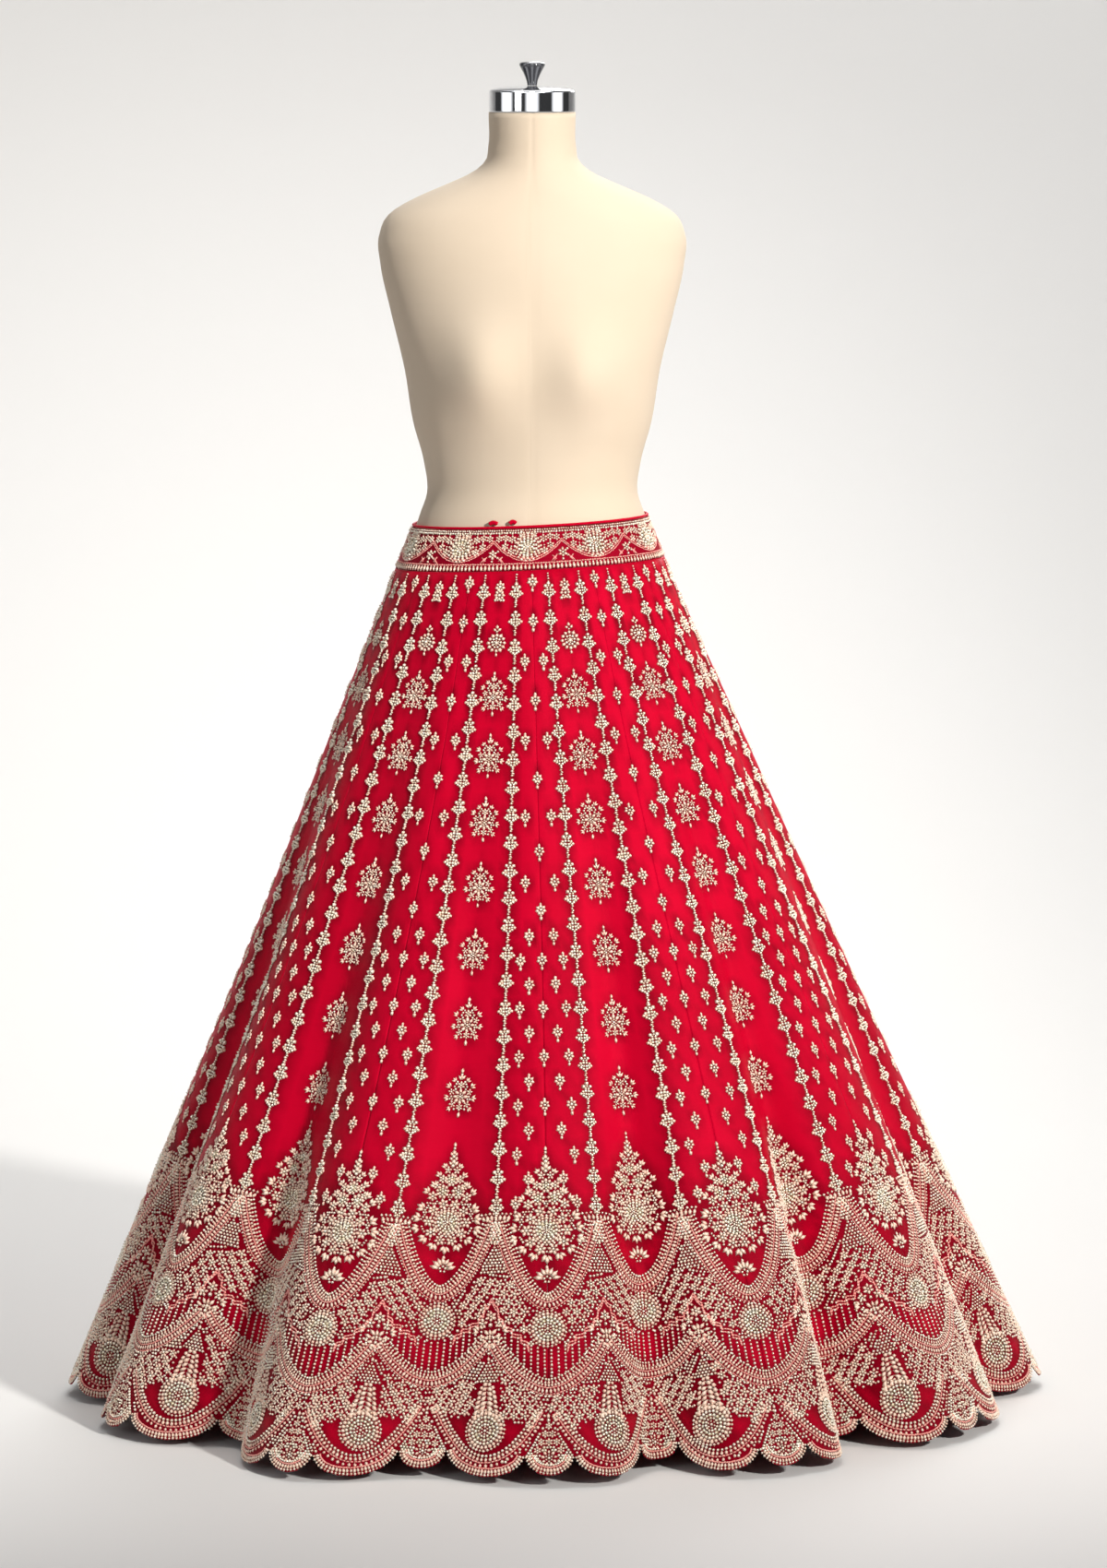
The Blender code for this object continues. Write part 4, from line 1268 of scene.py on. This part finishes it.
def sewChains(bed):
    for place in peaks:
        last = float(chainSlant(np.array([place]))[0])
        first = upper["chainFrom"]
        count = int((last - first) / upper["chainPitch"]) + 1
        slants = first + (last - first) * np.arange(count) / (count - 1)
        sizes = np.clip(0.92 + 0.25 * slants, 0.92, 1.02)
        stamp(bed, skirtSurface, chainCluster(), place, slants, sizes)
        sew(bed, "seed", place, 0.005 + 0.003 * np.arange(4), 0.0, 3.0, 3.0)


def sewButis(bed):
    # Butis stand on the seam and either side of it in turn, in more columns as the cloth widens
    seams = np.arange(skirt["kalis"]).astype(float)
    slant, step = upper["butiFrom"], 0
    while slant < upper["butiTo"]:
        widths = readSurface(skirtSurface, "widths", seams, np.full_like(seams, slant))[:, 0]
        quarter = unitHalf * widths
        wide = slant > upper["moreButisFrom"]
        if step % 2 == 0:
            if slant < upper["seamButiTo"]:
                stamp(bed, skirtSurface, buti(), seams, slant, upper["butiSize"])
            shares = (-0.61, 0.61) if wide else ()
        elif slant < 0.055:
            shares = (0.0,)
        else:
            shares = (-0.36, 0.36) if wide else (-0.48, 0.48)
        for share in shares:
            stamp(bed, skirtSurface, buti(), seams + share * quarter / widths, slant, upper["butiSize"])
        # The rows stand closer together lower down
        slant += upper["butiPitch"] - upper["butiCloser"] * float(smoothStep((slant - 0.20) / 0.25))
        step += 2 if slant < 0.055 + 0.0455 and step == 0 else 1


def sewUpper():
    bed = newBed()
    sewChains(bed)
    middles = np.arange(skirt["kalis"]) + 0.5
    stamp(bed, skirtSurface, doubleBud(), middles, upper["doubleBud"])
    stamp(bed, skirtSurface, roundFlower(), middles, upper["roundFlower"], upper["roundFlowerSize"])
    for step in range(upper["bouquets"]):
        slant = upper["bouquetFrom"] + upper["bouquetPitch"] * step + 0.0011 * step**2
        stamp(bed, skirtSurface, bouquet(), middles, slant, 1.0 + 0.015 * step, upper["bouquetNarrow"])
    sewButis(bed)
    return bed


def crown():
    # Loops along the flat crown of a peak, over a column of pearls
    made = petals(*[(4.9 * i, 1.5 - 0.10 * i**2, -0.10 * i, 7.2, 4.4) for i in range(-3, 4)])
    made += beads("seed", *[(4.9 * (i + 0.5), 6.4 - 0.10 * (i + 0.5)**2, 3.8) for i in range(-4, 4)])
    for row in range(7):
        shift = 0.5 * (row % 2)
        made += beads("pearl", *[(3.8 * (i - shift), -4.2 - 3.6 * row, 3.7) for i in (-1, 0, 1, 2)
                                 if abs(i - shift) < 1.8])
    return made


def threadSteps(t):
    # The stepped thread line: high round the sprig under a peak, low beside the rosette
    steps = np.array([(-1.0, 27), (-0.93, 19), (-0.88, 17), (-0.85, 6), (-0.78, 4), (-0.76, -3), (-0.62, -5),
                      (-0.60, -11), (-0.46, -12), (-0.44, -18), (-0.34, -20), (-0.32, -27), (0.0, -30)])
    return np.interp(-np.abs(t), steps[:, 0], steps[:, 1])


def insideFestoon(x, y, half, inset, bow, rise, margin):
    # Between the thread line and an upper festoon, clear of the rosette
    t = abs(x) / half
    top = festoonHeight(t, border["upperPeak"], border["upperFoot"]) - inset - bow * t**2
    foot = border["threadLine"] + float(threadSteps(t)) + rise
    clear = math.hypot(x, y - border["rosette"]) > border["rosetteRadius"] + margin
    return foot < y < top and clear


def sewBorder():
    bed = newBed()
    sewFestoons(bed, border["upperPeak"], border["upperFoot"], festoonRows)
    sewAt(bed, crown(), peaks, border["upperPeak"] + 2)
    # The medallion on a seam is a little larger than the one on a kali's middle
    sewAt(bed, largeMedallion(), centres[0::2], border["medallion"], 1.0)
    sewAt(bed, largeMedallion(), centres[1::2], border["medallion"], 0.95)
    sewAt(bed, pearlPeak(9, 4.0), peaks, border["peakPearls"])
    sewAt(bed, rosette(border["rosetteRadius"]), centres, border["rosette"])

    def underFestoon(x, y, half):
        down = border["peakPearls"] - y
        pearls = down < 34 and half - abs(x) < 2.3 + 0.5 * down
        return insideFestoon(x, y, half, 15.0, 13, 7.5, 5) and not pearls

    def bareGround(x, y, half):
        return insideFestoon(x, y, half, 9.0, 10, 3, 2)

    flowers = [groundFlower(11.6, 6, 0.0), groundFlower(12.2, 5, 0.4), groundFlower(11.2, 6, 0.2)]
    fillGround(bed, flowers, 11.4, 122, 240, underFestoon)
    fillGaps(bed, 118, 246, bareGround)
    return bed


def sewStrings(bed):
    # Strings of beads hang inside each festoon from the thread line
    clear = border["rosetteRadius"] + 4.5
    for unit in range(units):
        half = unitWidth(unit, border["lowerFoot"])
        for share in np.linspace(-0.84, 0.84, border["strings"]):
            place = np.array([unit / 2 + unitHalf * share])
            low = festoonHeight(share, border["lowerPeak"], border["lowerFoot"]) + 13.0
            high = border["threadLine"] + float(threadSteps(share)) - 4
            if abs(share * half) < clear:
                high = border["rosette"] - math.sqrt(clear**2 - (share * half)**2)
            count = int((high - low) / 3.45)
            if count > 1:
                above = np.linspace(low, high, count)
                sew(bed, "pearl", place[0], notchSlant(place)[0] - above * mm, 0.0, 3.5, 3.3)


def sewThreadLine(bed):
    # Two threads, side by side
    t = np.linspace(-1, 1, 161)
    above = border["threadLine"] + threadSteps(t)
    for unit in range(units):
        place = unit / 2 + unitHalf * t
        for part in (t < -0.31, t > 0.31):
            for lower in (0.0, 3.4):
                slant = notchSlant(place[part]) - (above[part] - lower) * mm
                rows = [("bugle", 0.0, 3.2, 3.7, 1.7, math.pi / 2)]
                followLine(bed, skirtSurface, place[part], slant, rows)


def sewLower():
    bed = newBed()
    sewFestoons(bed, border["lowerPeak"], border["lowerFoot"], festoonRows)
    flower = ring("petal", 8, 6.0, 5.4, 4.4) + beads("pearl", (0, 0, 5))
    sewAt(bed, flower, peaks, border["lowerPeak"] - 1)
    sewStrings(bed)
    sewThreadLine(bed)
    sewAt(bed, sprig(), peaks, border["sprig"])
    return bed


def crescentHeight(share):
    # The lower edge of a plain crescent; share is 1 at its tip
    return border["crescentTip"] - (border["crescentTip"] - border["crescentFoot"]) * (1 - share**2)


def crescentReach(half):
    return min(border["crescentHalf"], 0.62 * half)


def crescentArc(unit):
    # The edge of the crescent after a unit, carried on past its tips towards the fans
    half = unitWidth(unit + 0.5, 0)
    share = np.linspace(-1.28, 1.28, 81)
    place = unit / 2 + unitHalf + share * crescentReach(half) / half * unitHalf
    return place, crescentHeight(share)


def sewHem():
    bed = newBed()
    sewAt(bed, pearlPeak(7, 3.9), peaks, border["pearls"])
    sewAt(bed, feather(7, 5.4, 9.0, 17.0), peaks, border["feather"])
    sewAt(bed, rosette(border["dropRadius"]), peaks, border["drop"])
    sewAt(bed, fanFill(), centres, 0.0)

    def aroundDrop(x, y, half):
        t = abs(x) / half
        top = festoonHeight(t, border["lowerPeak"], border["lowerFoot"]) - 13.0 - 6 * t**2
        beside = half - abs(x)
        crescent = y > 47 - 0.30 * beside
        fan = y > 54 - 1.2 * abs(x)
        middle = beside > (19 if y < 75 else 19 - (y - 75) * 0.5)
        return y < top and crescent and fan and middle

    def bareHem(x, y, half):
        # All but the plain crescents, the ground beside a feather and the edge's own rows
        t = abs(x) / half
        top = festoonHeight(t, border["lowerPeak"], border["lowerFoot"]) - 8.0 - 6 * t**2
        beside = half - abs(x)
        reach = crescentReach(half)
        plain = beside < reach * 1.02 and crescentHeight(beside / reach) - 3 < y < 47 - 0.34 * beside
        feather = beside < (17 if y < 75 else 17 - (y - 75) * 0.6) and y > 30
        edge = 9.5 - float(scallopDrop(np.array([x / half * unitHalf]))[0]) / mm
        return edge < y < top and not plain and not feather

    # The edge: picots and a row of petals follow each scallop, more rows run inside it
    half = skirt["fanHalf"]
    picots = [("seed", 1.4, 4.3, 3.8, 3.8, 0.0), ("petal", 5.0, 4.3, 6.0, 4.0, 0.0),
              ("bugle", 8.4, 3.3, 3.8, 1.7, math.pi / 2)]
    fanRows = picots + [("pearl", 10.8, 4.2, 3.6, 3.6, 0.0)]
    innerRows = [("pearl", -1.6, 4.6, 4.0, 4.0, 0.0), ("petal", -5.6, 4.4, 5.6, 4.2, 0.0),
                 ("bugle", -9.0, 3.3, 3.8, 1.7, math.pi / 2), ("petal", -12.6, 4.6, 4.6, 4.0, 0.0)]
    for unit in range(units):
        spans = [(unit / 2 - half, unit / 2 + half, fanRows),
                 (unit / 2 + half, unit / 2 + 0.5 - half, picots)]
        for start, end, rows in spans:
            turn = np.linspace(-0.96, 0.96, 61) * math.pi / 2
            place = (start + end) / 2 + (end - start) / 2 * np.sin(turn)
            slant = notchSlant(place) + scallopDrop(place) * 1.02 - 0.0006
            followLine(bed, skirtSurface, place, slant, rows)
        place, above = crescentArc(unit)
        followLine(bed, skirtSurface, place, notchSlant(place) - above * mm, innerRows)
    flowers = [groundFlower(11.2, 6, 0.0), groundFlower(11.8, 5, 0.3), groundFlower(12.4, 6, 0.2)]
    fillGround(bed, flowers, 11.2, 34, 112, aroundDrop)
    fillGaps(bed, -16, 112, bareHem)
    return bed


bandWork = {
    "rosettes": 10, "rosetteRadius": 15.0, "rosetteDown": 20.5, "swagFoot": 36.0, "swagPeak": 15.0,
    # share of the way from a rosette to the next swag peak, mm down from the top, size
    "florets": [(0.48, 25.0, 10.0), (0.46, 11.4, 10.0), (0.66, 19.4, 9.4), (0.66, 9.8, 9.0),
                (0.86, 10.6, 9.2), (0.20, 7.2, 6.4)],
}


def sewBand():
    bed = newBed()
    length, height = bandSurface["length"], band["height"] / mm
    places = np.linspace(-length / 2, length / 2, 721)
    followLine(bed, bandSurface, places, np.full_like(places, height / 2 * mm), [
        ("seed", height / 2 - 1.6, 2.9, 3.0, 3.0, 0.0), ("pearl", height / 2 - 4.2, 3.3, 3.2, 3.2, 0.0),
        ("bugle", -height / 2 + 7.4, 2.9, 3.3, 1.5, math.pi / 2),
        ("petal", -height / 2 + 2.9, 4.4, 7.0, 3.9, 0.0),
        ("seed", -height / 2 + 5.4, 4.4, 2.6, 2.6, 0.0)])
    pitch = length / bandWork["rosettes"]
    middles = pitch * (np.arange(bandWork["rosettes"]) - bandWork["rosettes"] // 2)
    stamp(bed, bandSurface, rosette(bandWork["rosetteRadius"]), middles, bandWork["rosetteDown"] * mm)
    # Double thread swags run under the rosettes and meet midway
    share = np.linspace(-1.0, 1.0, 81)
    foot = bandWork["swagFoot"]
    thread = [("bugle", 0.0, 2.9, 3.3, 1.3, math.pi / 2)]
    for middle in middles:
        for inset in (0.0, 2.4):
            down = foot - inset - (foot - bandWork["swagPeak"]) * np.abs(share)**1.9
            followLine(bed, bandSurface, middle + pitch / 2 * share, down * mm, thread)
    stamp(bed, bandSurface, groundFlower(11.6, 6, 0.0), middles + pitch / 2, 28.0 * mm)
    lattice = mirrored([("bugle", 8.6, 0, 0.60, 9, 1.2), ("bugle", 11.0, -1.0, 0.60, 8, 1.2),
                        ("bugle", 10.0, 0.6, -0.7, 7, 1.2)])
    stamp(bed, bandSurface, lattice + beads("pearl", (0, -2.0, 3.2)), middles + pitch / 2, 33.6 * mm)
    for offset, down, size in bandWork["florets"]:
        for side in (-1, 1):
            motif = floret(0, 0, size, 6) + beads("seed", (0, size * 0.62, 3.0))
            stamp(bed, bandSurface, motif, middles + side * offset * pitch / 2, down * mm)
    return bed


# The shapes that are sewn on, one unit long and wide

def elementMesh(kind):
    def circle(count, radius, height):
        angles = [2 * math.pi * i / count for i in range(count)]
        return [(radius * math.sin(a), radius * math.cos(a), height) for a in angles]

    if kind == "petal":
        verts = [(0, 0.5, 0), (-0.46, 0.08, 0), (-0.28, -0.40, 0), (0.28, -0.40, 0), (0.46, 0.08, 0),
                 (0, -0.04, 1)]
        faces = [(0, 1, 5), (1, 2, 5), (2, 3, 5), (3, 4, 5), (4, 0, 5), (0, 1, 2, 3, 4)]
    elif kind == "bugle":
        verts = [(-0.5, -0.5, 0), (0.5, -0.5, 0), (0.5, 0.5, 0), (-0.5, 0.5, 0), (0, 0, 1)]
        faces = [(0, 1, 4), (1, 2, 4), (2, 3, 4), (3, 0, 4), (0, 1, 2, 3)]
    else:
        count = {"seed": 4, "pearl": 6, "sequin": 6}[kind]
        verts = circle(count, 0.5, 0.0) + [(0, 0, 1)]
        faces = [(i, (i + 1) % count, count) for i in range(count)] + [tuple(range(count))]
    mesh = meshFrom("element_" + kind, verts, faces)
    fixOutward(mesh)
    smoothFaces(mesh)
    return mesh


def makeSewingTree():
    # Puts one element on every point, turned and sized by the point's own values
    tree = bpy.data.node_groups.new("sewOn", "GeometryNodeTree")
    for title, way, kind in (("Geometry", "INPUT", "Geometry"), ("Element", "INPUT", "Object"),
                             ("Uneven", "INPUT", "Float"), ("Seed", "INPUT", "Int"),
                             ("Finish", "INPUT", "Material"), ("Geometry", "OUTPUT", "Geometry")):
        tree.interface.new_socket(name=title, in_out=way, socket_type="NodeSocket" + kind)
    given = tree.nodes.new("NodeGroupInput").outputs
    element = addNode(tree, "GeometryNodeObjectInfo", {"Object": given["Element"]})
    facing, size = (addNode(tree, "GeometryNodeInputNamedAttribute", {"Name": title},
                            data_type="FLOAT_VECTOR") for title in ("facing", "size"))
    turn = addNode(tree, "FunctionNodeEulerToRotation", {0: facing["Attribute"]})
    least = mathNode(tree, "SUBTRACT", 1.0, given["Uneven"])
    most = mathNode(tree, "ADD", 1.0, given["Uneven"])
    chance = addNode(tree, "FunctionNodeRandomValue", {2: least, 3: most, "Seed": given["Seed"]},
                     data_type="FLOAT")
    scale = addNode(tree, "ShaderNodeVectorMath", {0: size["Attribute"], "Scale": chance[1]},
                    operation="SCALE")
    placed = addNode(tree, "GeometryNodeInstanceOnPoints", {
        "Points": given["Geometry"], "Instance": element["Geometry"],
        "Rotation": turn[0], "Scale": scale[0]})
    real = addNode(tree, "GeometryNodeRealizeInstances", {0: placed[0]})
    finished = addNode(tree, "GeometryNodeSetMaterial", {"Geometry": real[0], "Material": given["Finish"]})
    tree.links.new(finished[0], tree.nodes.new("NodeGroupOutput").inputs[0])
    return tree


def pointFacing(surface, rows):
    # Each point's place and its x, y, z turns from the cloth's own directions
    place, slant, turn = rows[:, 0], rows[:, 1], rows[:, 2]
    point = readSurface(surface, "points", place, slant)
    normal = readSurface(surface, "normals", place, slant)
    across = readSurface(surface, "across", place, slant)
    normal /= np.linalg.norm(normal, axis=1, keepdims=True)
    across -= normal * (across * normal).sum(axis=1, keepdims=True)
    across /= np.linalg.norm(across, axis=1, keepdims=True)
    up = np.cross(normal, across)
    cosine, sine = np.cos(turn)[:, None], np.sin(turn)[:, None]
    xAxis = across * cosine + up * sine
    yAxis = up * cosine - across * sine
    facing = np.column_stack((np.arctan2(yAxis[:, 2], normal[:, 2]),
                              np.arctan2(-xAxis[:, 2], np.hypot(xAxis[:, 0], xAxis[:, 1])),
                              np.arctan2(xAxis[:, 1], xAxis[:, 0])))
    return point + normal * needlework["lift"] * mm, facing


threadFinishes = {
    "paleBead": makeBead("paleBead", (0.80, 0.52, 0.37), (1.0, 0.93, 0.79), 0.10, 0.20),
    "champagneBead": makeBead("champagneBead", (0.90, 0.74, 0.55), (1.0, 0.96, 0.83), 0.15, 0.16),
    "creamThread": makeThread("creamThread", (0.92, 0.54, 0.40), (1.0, 0.88, 0.72)),
    "salmonThread": makeThread("salmonThread", (0.92, 0.24, 0.21), (1.0, 0.52, 0.44)),
    "goldSequin": makeBead("goldSequin", (0.74, 0.60, 0.38), (1.0, 0.97, 0.82), 0.35, 0.16),
}


def layWork(name, bed, surface, tree):
    for kind, (rise, triangles, finish) in needlework["elements"].items():
        if not bed[kind]:
            continue
        rows = np.concatenate(bed[kind])
        rows = rows[np.argsort(rows[:, 0], kind="stable")]
        rows[:, 0] += shakes.normal(0, needlework["shake"] * mm, len(rows)) / readSurface(
            surface, "widths", rows[:, 0], rows[:, 1])[:, 0]
        rows[:, 1] += shakes.normal(0, needlework["shake"] * mm, len(rows))
        rows[:, 2] += shakes.normal(0, needlework["lean"], len(rows))
        point, facing = pointFacing(surface, rows)
        size = np.column_stack((rows[:, 4], rows[:, 3], rows[:, 4] * rise)) * mm
        pieces = math.ceil(len(rows) * triangles / needlework["most"])
        for index, part in enumerate(np.array_split(np.arange(len(rows)), pieces)):
            title = f"{name}_{kind}s" + (f"_{index + 1}" if pieces > 1 else "")
            sewn = sewPoints(title, kind, point[part], facing[part], size[part], tree,
                             threadFinishes[finish])
            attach(sewn, "root")
    print(name, {kind: sum(len(rows) for rows in bed[kind]) for kind in bed})


elementShapes = {}


def sewPoints(title, kind, point, facing, size, tree, finish):
    if kind not in elementShapes:
        elementShapes[kind] = bpy.data.objects.new("element_" + kind, elementMesh(kind))
    mesh = bpy.data.meshes.new(title)
    mesh.from_pydata([tuple(row) for row in point], [], [])
    for label, values in (("facing", facing), ("size", size)):
        attribute = mesh.attributes.new(label, "FLOAT_VECTOR", "POINT")
        attribute.data.foreach_set("vector", np.asarray(values, dtype=np.float32).ravel())
    holder = linkObject(title + "Points", mesh)
    modifier = holder.modifiers.new("sewOn", "NODES")
    modifier.node_group = tree
    values = {"Element": elementShapes[kind], "Uneven": needlework["uneven"], "Seed": needlework["seed"],
              "Finish": finish}
    for item in tree.interface.items_tree:
        if item.in_out == "INPUT" and item.name in values:
            modifier[item.identifier] = values[item.name]
    view = bpy.context.evaluated_depsgraph_get()
    result = bpy.data.meshes.new_from_object(holder.evaluated_get(view), depsgraph=view)
    bpy.data.objects.remove(holder)
    for label in ("facing", "size"):
        if label in result.attributes:
            result.attributes.remove(result.attributes[label])
    result.name = title
    return linkObject(title, result)


def paintBeadShade(beds):
    # The cloth between close beads gets less light, so it is painted darker: a painted-shade mask from the
    # share of it that they cover
    sewn = np.concatenate([rows for bed in beds for kind in bed for rows in bed[kind]])
    columns, row = skirt["gridColumns"] * skirt["kalis"], skirt["gridRow"]
    count = int(1.3 / row)
    column = (sewn[:, 0] * skirt["gridColumns"]).astype(int) % columns
    line = np.clip((sewn[:, 1] / row).astype(int), 0, count - 1)
    widths = readSurface(skirtSurface, "widths", sewn[:, 0], sewn[:, 1])[:, 0]
    covered = sewn[:, 3] * sewn[:, 4] * mm**2 * 0.78 / (widths / skirt["gridColumns"] * row)
    share = np.zeros((count, columns))
    np.add.at(share, (line, column), covered)
    for _ in range(2):
        share = (share + np.roll(share, 1, axis=1) + np.roll(share, -1, axis=1)) / 3
        share[1:-1] = (share[1:-1] + share[:-2] + share[2:]) / 3
    share = np.clip(share / surfaces["beadShadeFullCover"], 0.0, 1.0)
    for mesh, grid, slants in kaliGrids:
        column = (np.asarray(grid) * skirt["gridColumns"]).astype(int) % columns
        line = np.clip((slants / row).astype(int), 0, count - 1)
        values = share[line, column].ravel()
        mask = mesh.attributes.new("paintedBeadShade", "FLOAT", "POINT")
        mask.data.foreach_set("value", np.concatenate((values, values)).astype(np.float32))


def makeEmbroidery():
    tree = makeSewingTree()
    works = [("upperWork", sewUpper()), ("borderWork", sewBorder()),
             ("lowerWork", sewLower()), ("hemWork", sewHem())]
    paintBeadShade([bed for _, bed in works])
    for name, bed in works:
        layWork(name, bed, skirtSurface, tree)
    layWork("bandWork", sewBand(), bandSurface, tree)
    for shape in elementShapes.values():
        bpy.data.objects.remove(shape)


makeEmbroidery()
print("embroidery sewn on")


# Floor, backdrop and light

studio = {
    "floorColor": (0.78, 0.77, 0.75),
    "wallDistance": 3.2,
    "curveRadius": 1.6,
    "wallHeight": 6.0,
    "halfWidth": 7.0,
    "frontReach": 8.0,
    "worldColor": (0.92, 0.93, 0.95),
    "worldStrength": 0.21,
    "glossStrength": 2.2,   # brightness of the strip panels that only reflections see
    "glossStrips": 5.0,
    # name, kind, place, aim, size, watts, cone in degrees, colour
    "lamps": [
        ("keyLamp", "SPOT", (3.0, -4.0, 3.1), (0.10, 0.0, 1.15), 0.22, 1520, 40.0, (1.0, 0.98, 0.95)),
        ("fillLamp", "AREA", (-3.4, -4.4, 2.2), (0.0, 0.0, 0.7), 1.8, 28, 0.0, (0.98, 0.98, 1.0)),
        ("backLamp", "AREA", (0.7, 2.7, 2.9), (0.0, 0.0, 0.5), 1.6, 70, 0.0, (1.0, 1.0, 1.0)),
        ("topLamp", "AREA", (0.0, 0.6, 4.6), (0.0, 0.4, 0.6), 2.0, 60, 0.0, (1.0, 1.0, 1.0)),
    ],
}


def makeBackdrop():
    material, tree, shader = newMaterial("studioPaper", {"Roughness": 0.9, "Specular IOR Level": 0.1})
    color = studio["floorColor"]
    cloud = noiseNode(tree, objectVector(tree), 0.6, 3.0)
    clouded = mixColor(tree, cloud, tuple(value * 0.97 for value in color), color)
    tree.links.new(clouded, shader.inputs["Base Color"])
    # From behind, the backdrop is see-through, so that the skirt's back can be looked at
    through = tree.nodes.new("ShaderNodeMixShader")
    tree.links.new(tree.nodes.new("ShaderNodeNewGeometry").outputs["Backfacing"], through.inputs[0])
    tree.links.new(shader.outputs[0], through.inputs[1])
    tree.links.new(tree.nodes.new("ShaderNodeBsdfTransparent").outputs[0], through.inputs[2])
    output = next(node for node in tree.nodes if node.type == "OUTPUT_MATERIAL")
    tree.links.new(through.outputs[0], output.inputs["Surface"])
    radius, wall = studio["curveRadius"], studio["wallDistance"]
    profile = [(-studio["frontReach"], 0.0), (wall - radius, 0.0)]
    profile += [(wall - radius + radius * math.sin(a), radius - radius * math.cos(a))
                for a in np.linspace(0.1, math.pi / 2, 16)]
    profile.append((wall, studio["wallHeight"]))
    half = studio["halfWidth"]
    verts = [(x, y, z) for y, z in profile for x in (-half, half)]
    faces = [(2 * i, 2 * i + 1, 2 * i + 3, 2 * i + 2) for i in range(len(profile) - 1)]
    mesh = meshFrom("studioSweep", verts, faces)
    mesh.materials.append(material)
    smoothFaces(mesh)
    linkObject("studioSweep", mesh)


def lightStudio():
    world = bpy.data.worlds.new("studio")
    world.use_nodes = True
    tree = world.node_tree
    background = tree.nodes["Background"]
    background.inputs[0].default_value = (*studio["worldColor"], 1.0)
    # Polished things reflect upright light and dark panels; everything else sees an even room
    strips = tree.nodes.new("ShaderNodeTexGradient")
    strips.gradient_type = "RADIAL"
    tree.links.new(tree.nodes.new("ShaderNodeTexCoord").outputs["Object"], strips.inputs["Vector"])
    turned = mathNode(tree, "MULTIPLY", strips.outputs[1], studio["glossStrips"] * 2 * math.pi)
    wave = mathNode(tree, "MAXIMUM", mathNode(tree, "SINE", turned, None), -0.18)
    gloss = mathNode(tree, "MULTIPLY", mathNode(tree, "ADD", wave, 0.2), studio["glossStrength"])
    ray = tree.nodes.new("ShaderNodeLightPath").outputs["Is Glossy Ray"]
    swap = tree.nodes.new("ShaderNodeMix")
    swap.data_type = "FLOAT"
    swap.inputs[2].default_value = studio["worldStrength"]
    tree.links.new(ray, swap.inputs[0])
    tree.links.new(gloss, swap.inputs[3])
    tree.links.new(swap.outputs[0], background.inputs[1])
    bpy.context.scene.world = world
    bpy.context.scene.view_settings.view_transform = "Standard"
    for name, kind, place, aim, size, watts, cone, color in studio["lamps"]:
        light = bpy.data.lights.new(name, kind)
        if kind == "SPOT":
            light.shadow_soft_size = size
            light.spot_size = math.radians(cone)
            light.spot_blend = 1.0
        else:
            light.shape = "SQUARE"
            light.size = size
        light.energy = watts
        light.color = color
        lamp = bpy.data.objects.new(name, light)
        lamp.location = place
        lamp.rotation_euler = (Vector(aim) - Vector(place)).to_track_quat("-Z", "Y").to_euler()
        bpy.context.scene.collection.objects.link(lamp)


makeBackdrop()
lightStudio()
print("studio set")
